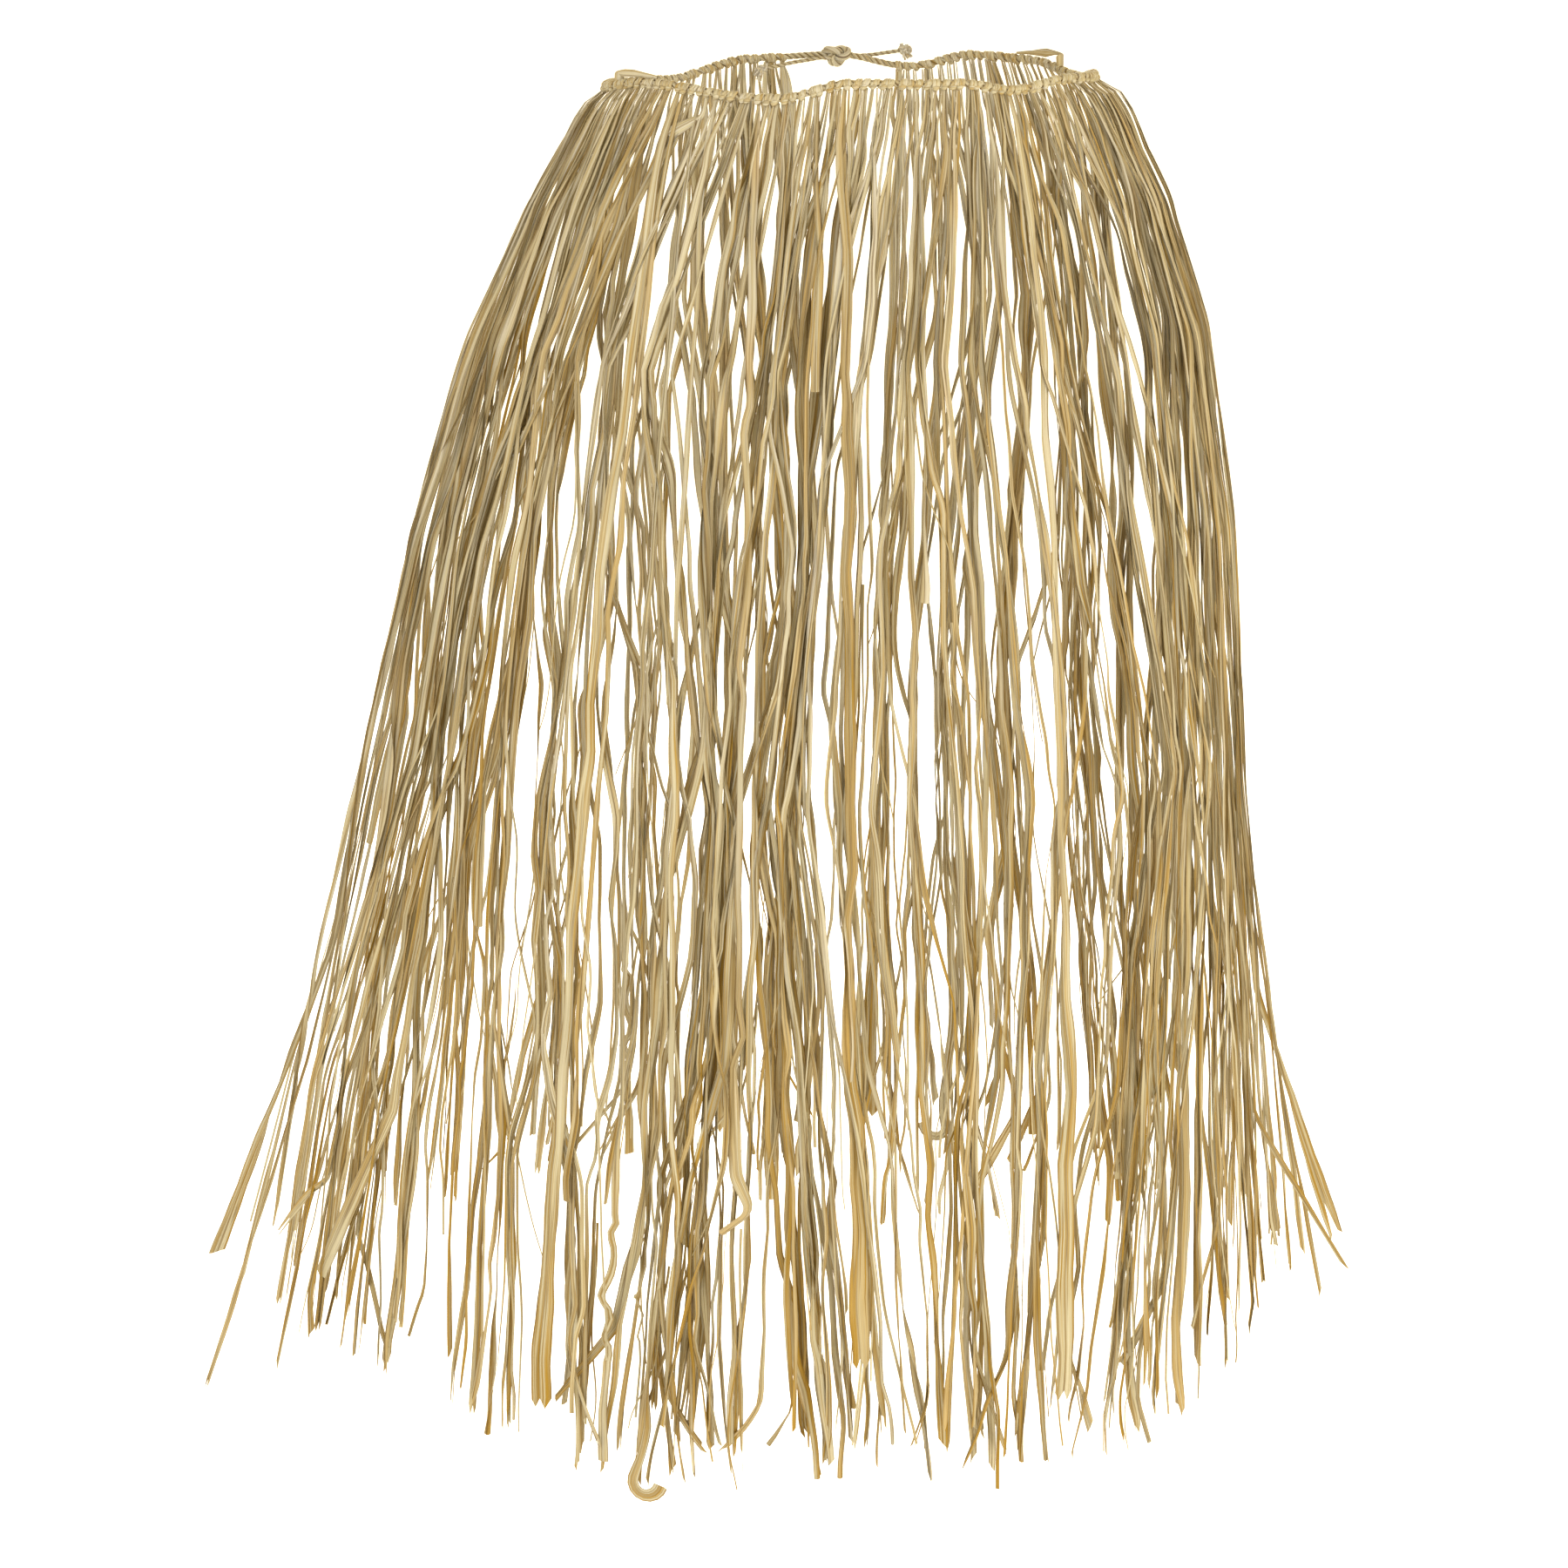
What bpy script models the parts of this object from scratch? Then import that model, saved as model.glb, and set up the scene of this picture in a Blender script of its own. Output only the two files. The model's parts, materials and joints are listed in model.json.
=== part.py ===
"""Raffia grass skirt, filled out as it is when worn: a waist cord tied behind, and strips hitched onto it.

Metres, +Z up. The front faces -Y, the tie is at +Y, and +X is the wearer's left. The origin is the middle
of the waist ring at the height of the cord. A turn is an angle about +Z from the front towards +X, and a
share is the same place as a part of the way round the cord. A drop is a height below the cord.
"""

import math
import random

import bmesh
import bpy
from mathutils import Vector

# The ring that the waist cord follows, as an ellipse that rises and dips a little.
RING_HALF_WIDTH = 0.152
RING_HALF_DEPTH = 0.108
RING_STEPS = 720
# turn in degrees, lift of the cord
RING_LIFT = (
    (0, 0.0033),
    (25, 0.0025),
    (40, -0.0026),
    (58, 0.0020),
    (90, 0.0000),
    (108, -0.0040),
    (132, 0.0037),
    (148, 0.0050),
    (165, -0.0034),
    (183, 0.0040),
    (203, 0.0020),
    (229, -0.0090),
    (270, -0.0070),
    (308, 0.0000),
    (342, -0.0064),
    (360, 0.0033),
)

# The form that the strips hang on, as ellipses from the waist over the hips down to the hem.
# drop, half width, half depth, lean of its middle towards +X
FORM = (
    (0.000, 0.152, 0.108, 0.000),
    (0.009, 0.159, 0.112, 0.000),
    (0.030, 0.172, 0.120, 0.000),
    (0.075, 0.198, 0.137, -0.002),
    (0.155, 0.228, 0.160, -0.007),
    (0.280, 0.259, 0.188, -0.019),
    (0.455, 0.285, 0.215, -0.033),
    (0.630, 0.314, 0.240, -0.041),
    (0.800, 0.336, 0.262, -0.046),
)
HEM_DROP = FORM[-1][0]

# The cord, and the hitched bunches of strips that hang over it.
CORD_RADIUS = 0.0019
CORD_STEPS = 112
BARE_CORD = 0.071
WALL = 0.0012
CLEARANCE = 0.0003
BUNCHES = 28
STRIPS = 4
# angles of the hitch round the cord, from its end inside the ring over the top to the outside
HITCH_ANGLES = (240, 180, 120, 60, 0)
HITCH_STEP = math.radians(60)
HITCH_ROOM = 0.0005
HITCH_RADIUS = (CORD_RADIUS + HITCH_ROOM) / math.cos(HITCH_STEP / 2) + WALL / 2
BAND_TOP = HITCH_RADIUS * math.cos(HITCH_STEP / 2) + WALL / 2
SEAM = 0.0006

# Down a strip: how much of its pitch it covers, how far it strays into its gap, and how far in or out.
# drop, cover, sideways as a part of the gap, in or out
STRIP_ROWS = (
    (0.030, 0.84, 0.00, 0.0000),
    (0.075, 0.80, 0.20, 0.0020),
    (0.155, 0.76, 0.30, 0.0040),
    (0.280, 0.70, 0.34, 0.0050),
    (0.455, 0.66, 0.34, 0.0060),
    (0.630, 0.62, 0.34, 0.0070),
    (0.800, 0.46, 0.34, 0.0080),
)
LENGTH_SPREAD = (0.950, 1.020)
CUT_SLANT = 0.008

# The strips that reach well away from the rest at the hem.
# bunch, strip, outward at the hem, longer at the hem
STRAYS = (
    (5, 2, 0.030, 0.010),
    (6, 1, 0.048, -0.012),
    (7, 0, 0.040, 0.040),
    (11, 2, 0.006, 0.036),
    (20, 1, 0.052, -0.030),
    (21, 2, 0.036, -0.012),
)
STRAY_START = 0.455
# The opening behind closes a little on its way down, so each strip moves towards the knot by this part.
CLOSING = 0.045

# The knot behind, of two loops drawn through each other, and the two free ends of the cord.
KNOT_MIDDLE = (-0.005, 0.108, 0.004)
LOOP_RADIUS = 0.0042
LOOP_ROPE = 0.0020
LOOP_OFFSET = 0.0026
LOOP_TILT = math.radians(34)
KNOT_HALF = LOOP_OFFSET + LOOP_RADIUS + LOOP_ROPE
TIE_RADIUS = 0.0013
TIE_STEP = 0.003
TIE_ENDS = {
    "right": (
        (0.0032, 0.1115, 0.0027),
        (0.0086, 0.1118, 0.0029),
        (0.0153, 0.1116, 0.0033),
        (0.0243, 0.1100, 0.0047),
        (0.0327, 0.1078, 0.0061),
    ),
    "left": (
        (-0.0122, 0.1032, 0.0019),
        (-0.0183, 0.1040, 0.0019),
        (-0.0248, 0.1034, 0.0007),
        (-0.0333, 0.1016, -0.0005),
        (-0.0428, 0.0986, -0.0022),
        (-0.0518, 0.0950, -0.0040),
    ),
}
END_KNOT_RADIUS = 0.0028
END_KNOT_SHAPE = (1.0, 0.85, 0.9)

# Two loose strips that stand up from the band. turn in degrees, lift of the lower edge off the band, width
LOOSE_STRIPS = {
    "left": ((267, 0.0, 0.0046), (278, 0.0, 0.0050), (290, 0.0, 0.0040), (302, 0.0, 0.0024)),
    "right": ((131, 0.0, 0.0024), (120, 0.0012, 0.0040), (110, 0.0032, 0.0050), (101, 0.0, 0.0084)),
}
LOOSE_STEPS = 6

# name, colour, roughness
RAFFIA_TONES = (
    ("straw", (0.58, 0.43, 0.21), 0.62),
    ("golden_straw", (0.50, 0.35, 0.15), 0.60),
    ("pale_straw", (0.65, 0.50, 0.28), 0.64),
    ("olive_straw", (0.45, 0.36, 0.19), 0.66),
)
CORD_COLOUR = (0.60, 0.46, 0.25)
CORD_ROUGHNESS = 0.7


def clear_scene():
    for obj in list(bpy.data.objects):
        bpy.data.objects.remove(obj)


def new_collection(name, hidden=False):
    collection = bpy.data.collections.new(name)
    collection.hide_render = hidden
    bpy.context.scene.collection.children.link(collection)
    return collection


def new_material(name, colour, roughness):
    material = bpy.data.materials.new(name)
    material.use_nodes = True
    shader = material.node_tree.nodes["Principled BSDF"]
    shader.inputs["Base Color"].default_value = (*colour, 1.0)
    shader.inputs["Roughness"].default_value = roughness
    shader.inputs["Metallic"].default_value = 0.0
    return material


def place(obj, collection, material):
    """Puts a finished object in one collection only, with its material."""
    for other in list(obj.users_collection):
        other.objects.unlink(obj)
    collection.objects.link(obj)
    if material:
        obj.data.materials.append(material)
    return obj


def between(rows, place_in, column):
    """A column of a table whose first column rises, read at any place by straight lines."""
    for low, high in zip(rows, rows[1:]):
        if place_in <= high[0] or high is rows[-1]:
            part = (place_in - low[0]) / (high[0] - low[0])
            return low[column] + part * (high[column] - low[column])


def ring_lift(turn):
    """Height of the cord at a turn, easing from each row of the table to the next."""
    degrees = math.degrees(turn) % 360
    for (start, low), (end, high) in zip(RING_LIFT, RING_LIFT[1:]):
        if degrees <= end:
            ease = (1 - math.cos(math.pi * (degrees - start) / (end - start))) / 2
            return low + ease * (high - low)


def ellipse(turn, half_width, half_depth):
    return Vector((half_width * math.sin(turn), -half_depth * math.cos(turn), 0))


def ring_lengths():
    """Length along the ring up to each of its steps, starting from the front."""
    points = [
        ellipse(math.tau * i / RING_STEPS, RING_HALF_WIDTH, RING_HALF_DEPTH) for i in range(RING_STEPS + 1)
    ]
    lengths = [0.0]
    for start, end in zip(points, points[1:]):
        lengths.append(lengths[-1] + (end - start).length)
    return lengths


RING_LENGTHS = ring_lengths()
PERIMETER = RING_LENGTHS[-1]
TURN_ROWS = tuple((length / PERIMETER, math.tau * i / RING_STEPS) for i, length in enumerate(RING_LENGTHS))
KNOT_SHARE = 0.5 - KNOT_MIDDLE[0] / PERIMETER
PITCH = (1 - BARE_CORD / PERIMETER) / (BUNCHES * STRIPS)
FIRST_SHARE = KNOT_SHARE + BARE_CORD / PERIMETER / 2


def turn_of(share):
    return between(TURN_ROWS, share % 1, 1)


def ring_point(share):
    turn = turn_of(share)
    return ellipse(turn, RING_HALF_WIDTH, RING_HALF_DEPTH) + Vector((0, 0, ring_lift(turn)))


def outward_at(share):
    turn = turn_of(share)
    return ellipse(turn, 1 / RING_HALF_WIDTH, 1 / RING_HALF_DEPTH).normalized()


def hitch_point(share, angle):
    """A point of the hitch's wall, at an angle round the cord from straight outward, rising over the top."""
    around = outward_at(share) * math.cos(angle) + Vector((0, 0, math.sin(angle)))
    return ring_point(share) + around * HITCH_RADIUS


def hang_point(share, drop, out=0.0):
    """A point of a hanging strip on the form, moved outward by out."""
    from_front = (share - KNOT_SHARE) % 1 - 0.5
    turn = turn_of(KNOT_SHARE + 0.5 + from_front * (1 + CLOSING * drop / HEM_DROP))
    half_width, half_depth, lean = (between(FORM, drop, column) for column in (1, 2, 3))
    middle = Vector((lean, 0, ring_lift(turn) - drop))
    return middle + ellipse(turn, half_width, half_depth) + outward_at(share) * out


class Strip:
    """One strip's own lean into its gap, layer, length and cut, and its stray if it has one."""

    def __init__(self, bunch, index, luck):
        self.share = FIRST_SHARE + (bunch * STRIPS + index + 0.5) * PITCH
        self.sideways = luck.uniform(-1, 1)
        self.layer = luck.uniform(-1, 1)
        self.length = luck.uniform(*LENGTH_SPREAD)
        self.slant = luck.uniform(-1, 1) * CUT_SLANT
        stray = [row[2:] for row in STRAYS if row[:2] == (bunch, index)]
        self.outward, self.longer = stray[0] if stray else (0.0, 0.0)

    def edge_point(self, row, side):
        """The left (-1) or right (+1) edge of the strip at a row of STRIP_ROWS."""
        drop, cover, wander, swing = STRIP_ROWS[row]
        gap = 1 - cover
        share = self.share + PITCH * (side * cover / 2 + self.sideways * gap * wander)
        out = self.layer * swing
        if drop > STRAY_START:
            out += self.outward * (drop - STRAY_START) / (HEM_DROP - STRAY_START)
        if row == len(STRIP_ROWS) - 1:
            drop = drop * self.length + self.longer + side * self.slant / 2
        return hang_point(share, drop, out)


def bunch_sheet(bunch, strips):
    """The bunch's middle surface: a grid that bends over the cord, and is slit into strips below it."""
    header_rows = len(HITCH_ANGLES)
    rows = header_rows + len(STRIP_ROWS)
    sheet = bmesh.new()
    bmesh.ops.create_grid(sheet, x_segments=STRIPS, y_segments=rows, size=0.5)
    for vert in sheet.verts:
        vert.co = ((vert.co.x + 0.5) * STRIPS, (0.5 - vert.co.y) * rows, 0)
    slits = [
        edge
        for edge in sheet.edges
        if not edge.is_boundary
        and abs(edge.verts[0].co.x - edge.verts[1].co.x) < 0.5
        and min(vert.co.y for vert in edge.verts) > header_rows - 0.5
    ]
    bmesh.ops.split_edges(sheet, edges=slits)

    places = []
    for vert in sheet.verts:
        column, row = round(vert.co.x), round(vert.co.y)
        strip = min(int(face.calc_center_median().x) for face in vert.link_faces)
        if row > header_rows:
            side = 1 if column > strip else -1
            places.append(strips[strip].edge_point(row - header_rows - 1, side))
            continue
        share = FIRST_SHARE + (bunch * STRIPS + column) * PITCH
        share += {0: 1, STRIPS: -1}.get(column, 0) * SEAM / 2 / PERIMETER
        if row < header_rows:
            places.append(hitch_point(share, math.radians(HITCH_ANGLES[row])))
        else:
            places.append(hang_point(share, FORM[1][0]))
    for vert, point in zip(sheet.verts, places):
        vert.co = point
    bmesh.ops.recalc_face_normals(sheet, faces=sheet.faces)
    return sheet


def thickened(name, sheet, collection, material):
    """A closed wall through an open surface."""
    mesh = bpy.data.meshes.new(name)
    sheet.to_mesh(mesh)
    sheet.free()
    obj = bpy.data.objects.new(name, mesh)
    solidify = obj.modifiers.new("wall", "SOLIDIFY")
    solidify.thickness = WALL
    solidify.offset = 0
    solidify.use_even_offset = True
    return place(obj, collection, material)


def raffia_bunches(collection):
    luck = random.Random(11)
    for bunch in range(BUNCHES):
        strips = [Strip(bunch, index, luck) for index in range(STRIPS)]
        tone, colour, roughness = RAFFIA_TONES[bunch % len(RAFFIA_TONES)]
        name = f"raffia_bunch_{bunch + 1:02d}"
        material = new_material(f"{tone}_{bunch + 1:02d}", colour, roughness)
        thickened(name, bunch_sheet(bunch, strips), collection, material)


def tube(name, points, radius, collection, material):
    curve = bpy.data.curves.new(name, "CURVE")
    curve.dimensions = "3D"
    curve.bevel_depth = radius
    curve.bevel_resolution = 2
    curve.use_fill_caps = True
    spline = curve.splines.new("POLY")
    spline.points.add(len(points) - 1)
    for target, point in zip(spline.points, points):
        target.co = (*point, 1)
    return place(bpy.data.objects.new(name, curve), collection, material)


def waist_cord(collection):
    """One length of cord, from one side of the knot round the front to its other side."""
    end = (KNOT_HALF + CLEARANCE) / PERIMETER
    shares = [KNOT_SHARE + end + (1 - 2 * end) * i / CORD_STEPS for i in range(CORD_STEPS + 1)]
    points = [ring_point(share) for share in shares]
    colour = new_material("twisted_cord", CORD_COLOUR, CORD_ROUGHNESS)
    tube("waist_cord", points, CORD_RADIUS, collection, colour)


def knot(collection, fusers):
    """Two tilted loops drawn together over a core, fused into one body."""
    loops = []
    for side in (-1, 1):
        bpy.ops.mesh.primitive_torus_add(
            location=Vector(KNOT_MIDDLE) + Vector((side * LOOP_OFFSET, 0, 0)),
            rotation=(math.pi / 2 + side * LOOP_TILT, 0, 0),
            major_segments=18,
            minor_segments=8,
            major_radius=LOOP_RADIUS,
            minor_radius=LOOP_ROPE,
        )
        loops.append(bpy.context.object)
    bpy.ops.mesh.primitive_uv_sphere_add(segments=12, ring_count=8, radius=LOOP_RADIUS, location=KNOT_MIDDLE)
    core = bpy.context.object
    body = place(loops[0], collection, new_material("knot_cord", CORD_COLOUR, CORD_ROUGHNESS))
    body.name = "waist_knot"
    body.data.name = "waist_knot"
    for name, fuser in (("knot_loop", loops[1]), ("knot_core", core)):
        fuser.name = name
        fuser.hide_render = True
        fuser.display_type = "WIRE"
        place(fuser, fusers, None)
        union = body.modifiers.new(name, "BOOLEAN")
        union.operation = "UNION"
        union.object = fuser


def smooth_route(points, step):
    """Points every step or so along a Catmull-Rom curve through the given ones."""
    points = [Vector(point) for point in points]
    ends = [2 * points[0] - points[1], *points, 2 * points[-1] - points[-2]]
    route = []
    for before, start, end, after in zip(ends, ends[1:], ends[2:], ends[3:]):
        count = max(2, round((end - start).length / step))
        for i in range(count):
            t = i / count
            route.append(
                0.5
                * (
                    2 * start
                    + (end - before) * t
                    + (2 * before - 5 * start + 4 * end - after) * t**2
                    + (3 * start - before - 3 * end + after) * t**3
                )
            )
    return [*route, points[-1]]


def tie_ends(collection):
    """The two free ends of the cord, each stopped with a small knot of its own."""
    for side, points in TIE_ENDS.items():
        route = smooth_route(points, TIE_STEP)
        colour = new_material(f"tie_{side}", CORD_COLOUR, CORD_ROUGHNESS)
        tube(f"tie_end_{side}", route, TIE_RADIUS, collection, colour)
        forward = (route[-1] - route[-2]).normalized()
        bpy.ops.mesh.primitive_uv_sphere_add(
            segments=12,
            ring_count=8,
            radius=END_KNOT_RADIUS,
            location=route[-1] + forward * (END_KNOT_RADIUS + CLEARANCE),
            rotation=forward.to_track_quat("X", "Z").to_euler(),
        )
        bead = bpy.context.object
        bead.name = f"tie_knot_{side}"
        bead.data.name = bead.name
        bead.scale = END_KNOT_SHAPE
        bead.data.shade_smooth()
        place(bead, collection, new_material(f"tie_knot_{side}", CORD_COLOUR, CORD_ROUGHNESS))


def loose_strips(collection):
    """Flat strips on edge that stand up from the band of hitches at each side."""
    for side, rows in LOOSE_STRIPS.items():
        rows = sorted(rows)
        sheet = bmesh.new()
        bmesh.ops.create_grid(sheet, x_segments=LOOSE_STEPS, y_segments=1, size=0.5)
        for vert in sheet.verts:
            degrees = rows[0][0] + (vert.co.x + 0.5) * (rows[-1][0] - rows[0][0])
            lift, width = (between(rows, degrees, column) for column in (1, 2))
            turn = math.radians(degrees)
            upper = 1 if vert.co.y > 0 else 0
            height = ring_lift(turn) + BAND_TOP + CLEARANCE + lift + upper * width
            vert.co = ellipse(turn, RING_HALF_WIDTH, RING_HALF_DEPTH) + Vector((0, 0, height))
        bmesh.ops.recalc_face_normals(sheet, faces=sheet.faces)
        _, colour, roughness = RAFFIA_TONES[0]
        thickened(f"loose_strip_{side}", sheet, collection, new_material(f"loose_{side}", colour, roughness))


def main():
    clear_scene()
    skirt = new_collection("grass_skirt")
    fusers = new_collection("knot_fusers", hidden=True)
    raffia_bunches(skirt)
    waist_cord(skirt)
    knot(skirt, fusers)
    tie_ends(skirt)
    loose_strips(skirt)


main()
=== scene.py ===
"""Raffia grass skirt, filled out as worn: strips of split leaf hitched over a twisted cord that ties behind.

Metres, in the frame's axes: +Z up, the front faces -Y and the tie is at +Y. A share is a place round the cord
as a part of its length, counted from the front towards +X. A drop is a depth below the cord.
"""

import json
import math
import random

import bpy
import numpy as np
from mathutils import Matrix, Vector

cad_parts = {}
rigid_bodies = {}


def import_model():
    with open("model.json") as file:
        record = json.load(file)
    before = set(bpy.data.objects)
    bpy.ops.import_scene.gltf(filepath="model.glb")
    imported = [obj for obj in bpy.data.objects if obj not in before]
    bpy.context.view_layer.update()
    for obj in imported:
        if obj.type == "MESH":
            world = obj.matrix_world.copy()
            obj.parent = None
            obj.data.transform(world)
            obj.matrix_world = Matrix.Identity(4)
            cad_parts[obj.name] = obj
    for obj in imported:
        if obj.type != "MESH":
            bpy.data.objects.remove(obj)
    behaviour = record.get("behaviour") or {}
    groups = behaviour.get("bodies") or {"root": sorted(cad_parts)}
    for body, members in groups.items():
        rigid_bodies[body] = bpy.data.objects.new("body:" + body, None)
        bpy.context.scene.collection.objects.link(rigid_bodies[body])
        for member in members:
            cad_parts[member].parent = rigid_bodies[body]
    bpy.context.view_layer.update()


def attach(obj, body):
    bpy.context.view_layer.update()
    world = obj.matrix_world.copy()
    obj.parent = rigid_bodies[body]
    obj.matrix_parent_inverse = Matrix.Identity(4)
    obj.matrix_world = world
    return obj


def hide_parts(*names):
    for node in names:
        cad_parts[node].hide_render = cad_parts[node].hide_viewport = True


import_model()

# ---- The camera, the floor and the light ----

CAMERA_PLACE = (-0.04115, -2.7, 0.22)
CAMERA_PITCH = math.radians(90 - 14.062)
CAMERA_LENS = 98.42
FLOOR_DEPTH = -1.03
FLOOR_RADIUS = 30.0
FLOOR_WHITE = 0.90
FLOOR_GLOW = 0.78
SKY_SEEN = (1.0, 1.0, 1.0, 1.0)
SKY_LIGHT = (0.88, 0.685, 0.33, 1.0)
COOL = (0.82, 0.98, 1.32)
WARM = (0.96, 0.945, 0.89)
# name, place, what it faces, size, power, colour
SOFTBOXES = (
    ("key_softbox", (-1.5, -2.9, 1.7), (0, 0, -0.25), 1.0, 47.0, COOL),
    ("fill_softbox", (2.3, -2.2, 0.5), (0, 0, -0.45), 1.6, 42.0, WARM),
    ("back_softbox", (0.2, 2.9, 1.5), (0, 0, -0.35), 1.6, 78.0, WARM),
)

# ---- The waist ring and the form that the strips hang on, as the frame has them ----

RING_HALF_WIDTH = 0.152
RING_HALF_DEPTH = 0.108
RING_STEPS = 720
# turn in degrees, lift of the cord
RING_LIFT = (
    (0, 0.0033), (25, 0.0025), (40, -0.0026), (58, 0.0020), (90, 0.0000), (108, -0.0040), (132, 0.0037),
    (148, 0.0050), (165, -0.0034), (183, 0.0040), (203, 0.0020), (229, -0.0090), (270, -0.0070),
    (308, 0.0000), (342, -0.0064), (360, 0.0033),
)
# drop, half width, half depth, lean of its middle towards +X
FORM = (
    (0.000, 0.152, 0.108, 0.0000), (0.009, 0.159, 0.112, 0.0000), (0.030, 0.172, 0.120, 0.0000),
    (0.075, 0.198, 0.137, -0.0020), (0.155, 0.228, 0.160, -0.0070), (0.280, 0.259, 0.188, -0.0190),
    (0.455, 0.285, 0.215, -0.0330), (0.630, 0.314, 0.240, -0.0410), (0.800, 0.336, 0.262, -0.0460),
    (0.920, 0.352, 0.277, -0.0495),
)
FORM_EASE = 0.012
HEM_DROP = 0.800
CLOSING = 0.045
STRAIGHT_FALL = 3.0
BARE_CORD = 0.071
BUNCHES = 28
HITCHES_EACH = 5
HITCHES = BUNCHES * HITCHES_EACH
# One hitch: how far its two wraps stand apart, their radius, thickness and breadth, and the bead below them
WRAP_MIDDLE = 0.00120
WRAP_RADIUS = 0.00220
WRAP_THICKNESS = 0.00075
WRAP_BROADER = 1.95
BEAD_REACH = (0.00215, 0.00145, 0.00175)
BEAD_MIDDLE = (0, 0.00200, -0.00205)
# How the hitches differ: slant as middle and spread, spread of the roll, smallest and largest
HITCH_SLANT = (0.46, 0.20)
HITCH_ROLL = 0.12
HITCH_SIZES = (0.90, 1.10)
# Half breadth over which a hitch's wraps narrow at the sides; the sides are also painted darker as shade
# between hitches.
HITCH_EDGE = 0.0027
KNOT_MIDDLE = (-0.005, 0.108, 0.004)
KNOT_HALF = 0.0088
KNOT_DRAWN = (-0.0072, 0.1080, 0.0026)
KNOT_REACH = (0.0074, 0.0030, 0.0044)
KNOT_ROPE = 0.0026

# ---- The cord and its ties ----

CORD_RADIUS = 0.0021
CORD_STEP = 0.0011
CORD_PITCH = 0.0125
KNOT_PITCH = 0.024
ROPE_STEP = 0.0007
CORD_INTO_KNOT = 0.0045
TIE_RADIUS = 0.0013
TIE_PITCH = 0.008
TIE_INTO_KNOT = 0.0016
TIE_STEP = 0.001
TIE_ENDS = {
    "right": (
        (-0.0030, 0.1098, 0.0030), (0.0032, 0.1115, 0.0027), (0.0086, 0.1118, 0.0029),
        (0.0153, 0.1116, 0.0033), (0.0243, 0.1100, 0.0047), (0.0327, 0.1078, 0.0061),
    ),
    "left": (
        (-0.0100, 0.1062, 0.0024), (-0.0122, 0.1032, 0.0019), (-0.0183, 0.1040, 0.0019),
        (-0.0248, 0.1034, 0.0007), (-0.0333, 0.1016, -0.0005), (-0.0428, 0.0986, -0.0022),
        (-0.0518, 0.0950, -0.0040),
    ),
}
END_KNOT_RADIUS = 0.0028
STOPPER_REACH = (0.0019, 0.0015, 0.0019)
STOPPER_ROPE = 0.00115
STOPPER_STEP = 0.0004
FRAYS = 36
FRAY_ROWS = 8
FRAY_LENGTHS = (0.0040, 0.0068)
FRAY_WIDTHS = (0.0009, 0.0020)
CLEARANCE = 0.0003
# Two leaves folded lengthwise that stand on the band and then fold down into it. Each row is its lower and
# its upper edge: turn in degrees, outward, lift off the band.
LOOSE_STRIPS = {
    "left": (
        ((309.0, 0.0000, -0.0012), (309.0, 0.0000, 0.0006)),
        ((304.0, 0.0000, -0.0008), (304.0, 0.0000, 0.0021)),
        ((299.0, 0.0002, -0.0004), (299.0, 0.0000, 0.0039)),
        ((294.0, 0.0004, 0.0002), (294.0, 0.0000, 0.0047)),
        ((291.2, 0.0000, 0.0016), (289.6, 0.0006, 0.0044)),
        ((291.2, -0.0020, 0.0020), (288.8, 0.0014, 0.0036)),
        ((291.0, -0.0022, 0.0000), (288.8, 0.0016, 0.0006)),
        ((291.0, -0.0022, -0.0020), (288.8, 0.0016, -0.0020)),
    ),
    "right": (
        ((135.0, 0.0000, -0.0010), (135.0, 0.0000, 0.0002)),
        ((129.5, 0.0000, -0.0008), (129.5, 0.0000, 0.0019)),
        ((124.5, 0.0002, -0.0002), (124.0, 0.0000, 0.0055)),
        ((121.0, 0.0008, 0.0034), (120.6, -0.0004, 0.0063)),
        ((119.2, 0.0012, 0.0044), (118.4, 0.0000, 0.0067)),
        ((118.8, -0.0022, 0.0040), (117.6, 0.0018, 0.0060)),
        ((118.6, -0.0022, 0.0004), (117.6, 0.0018, 0.0010)),
        ((118.6, -0.0022, -0.0020), (117.6, 0.0018, -0.0020)),
    ),
}
LOOSE_ROWS = 60
LOOSE_FOLD = 0.0007
LOOSE_EASE = 0.0012
BAND_TOP = 0.0035

# ---- The strips ----

LEAF_THICKNESS = 0.00028
LEAF_CUP = 0.10
SMOOTH_ANGLE = math.radians(38)
STRIP_ROWS = 118
STRIP_START = 0.0026
EXTRA_LEG = 0.50
LEG_SPACING = 0.0013
LEG_UNEVEN = 0.0002
FLAT_WIDTH = 0.0048
FLAT_SPREAD = 0.34
FLAT_LIMITS = (0.0024, 0.0110)
# drop, width as a part of the strip's own: gathered into a neck under the cord
GATHER = (
    (0.0, 0.40), (0.006, 0.40), (0.016, 0.58), (0.032, 0.82), (0.060, 0.90), (0.16, 0.94), (0.46, 0.95),
    (0.56, 0.88), (0.66, 0.88), (0.80, 1.14),
)
# how many of the strips, shortest and longest as a part of the hem's drop
LENGTHS = ((0.87, 0.985, 1.048), (0.08, 0.890, 0.985), (0.05, 0.500, 0.890))
# turn in degrees, part of the drop that the strips reach there
HEM = (
    (0, 1.0), (42, 1.0), (63, 0.975), (81, 0.955), (102, 0.965), (180, 0.98), (257, 0.965), (287, 0.96),
    (300, 0.945), (311, 0.962), (322, 0.995), (360, 1.0),
)
# How uneven the strips' lengths are behind, and how that changes from hitch to hitch and strip to strip
BACK_RAGGED = 0.055
RAGGED_STEPS = (37.7, 2.1)
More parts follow.
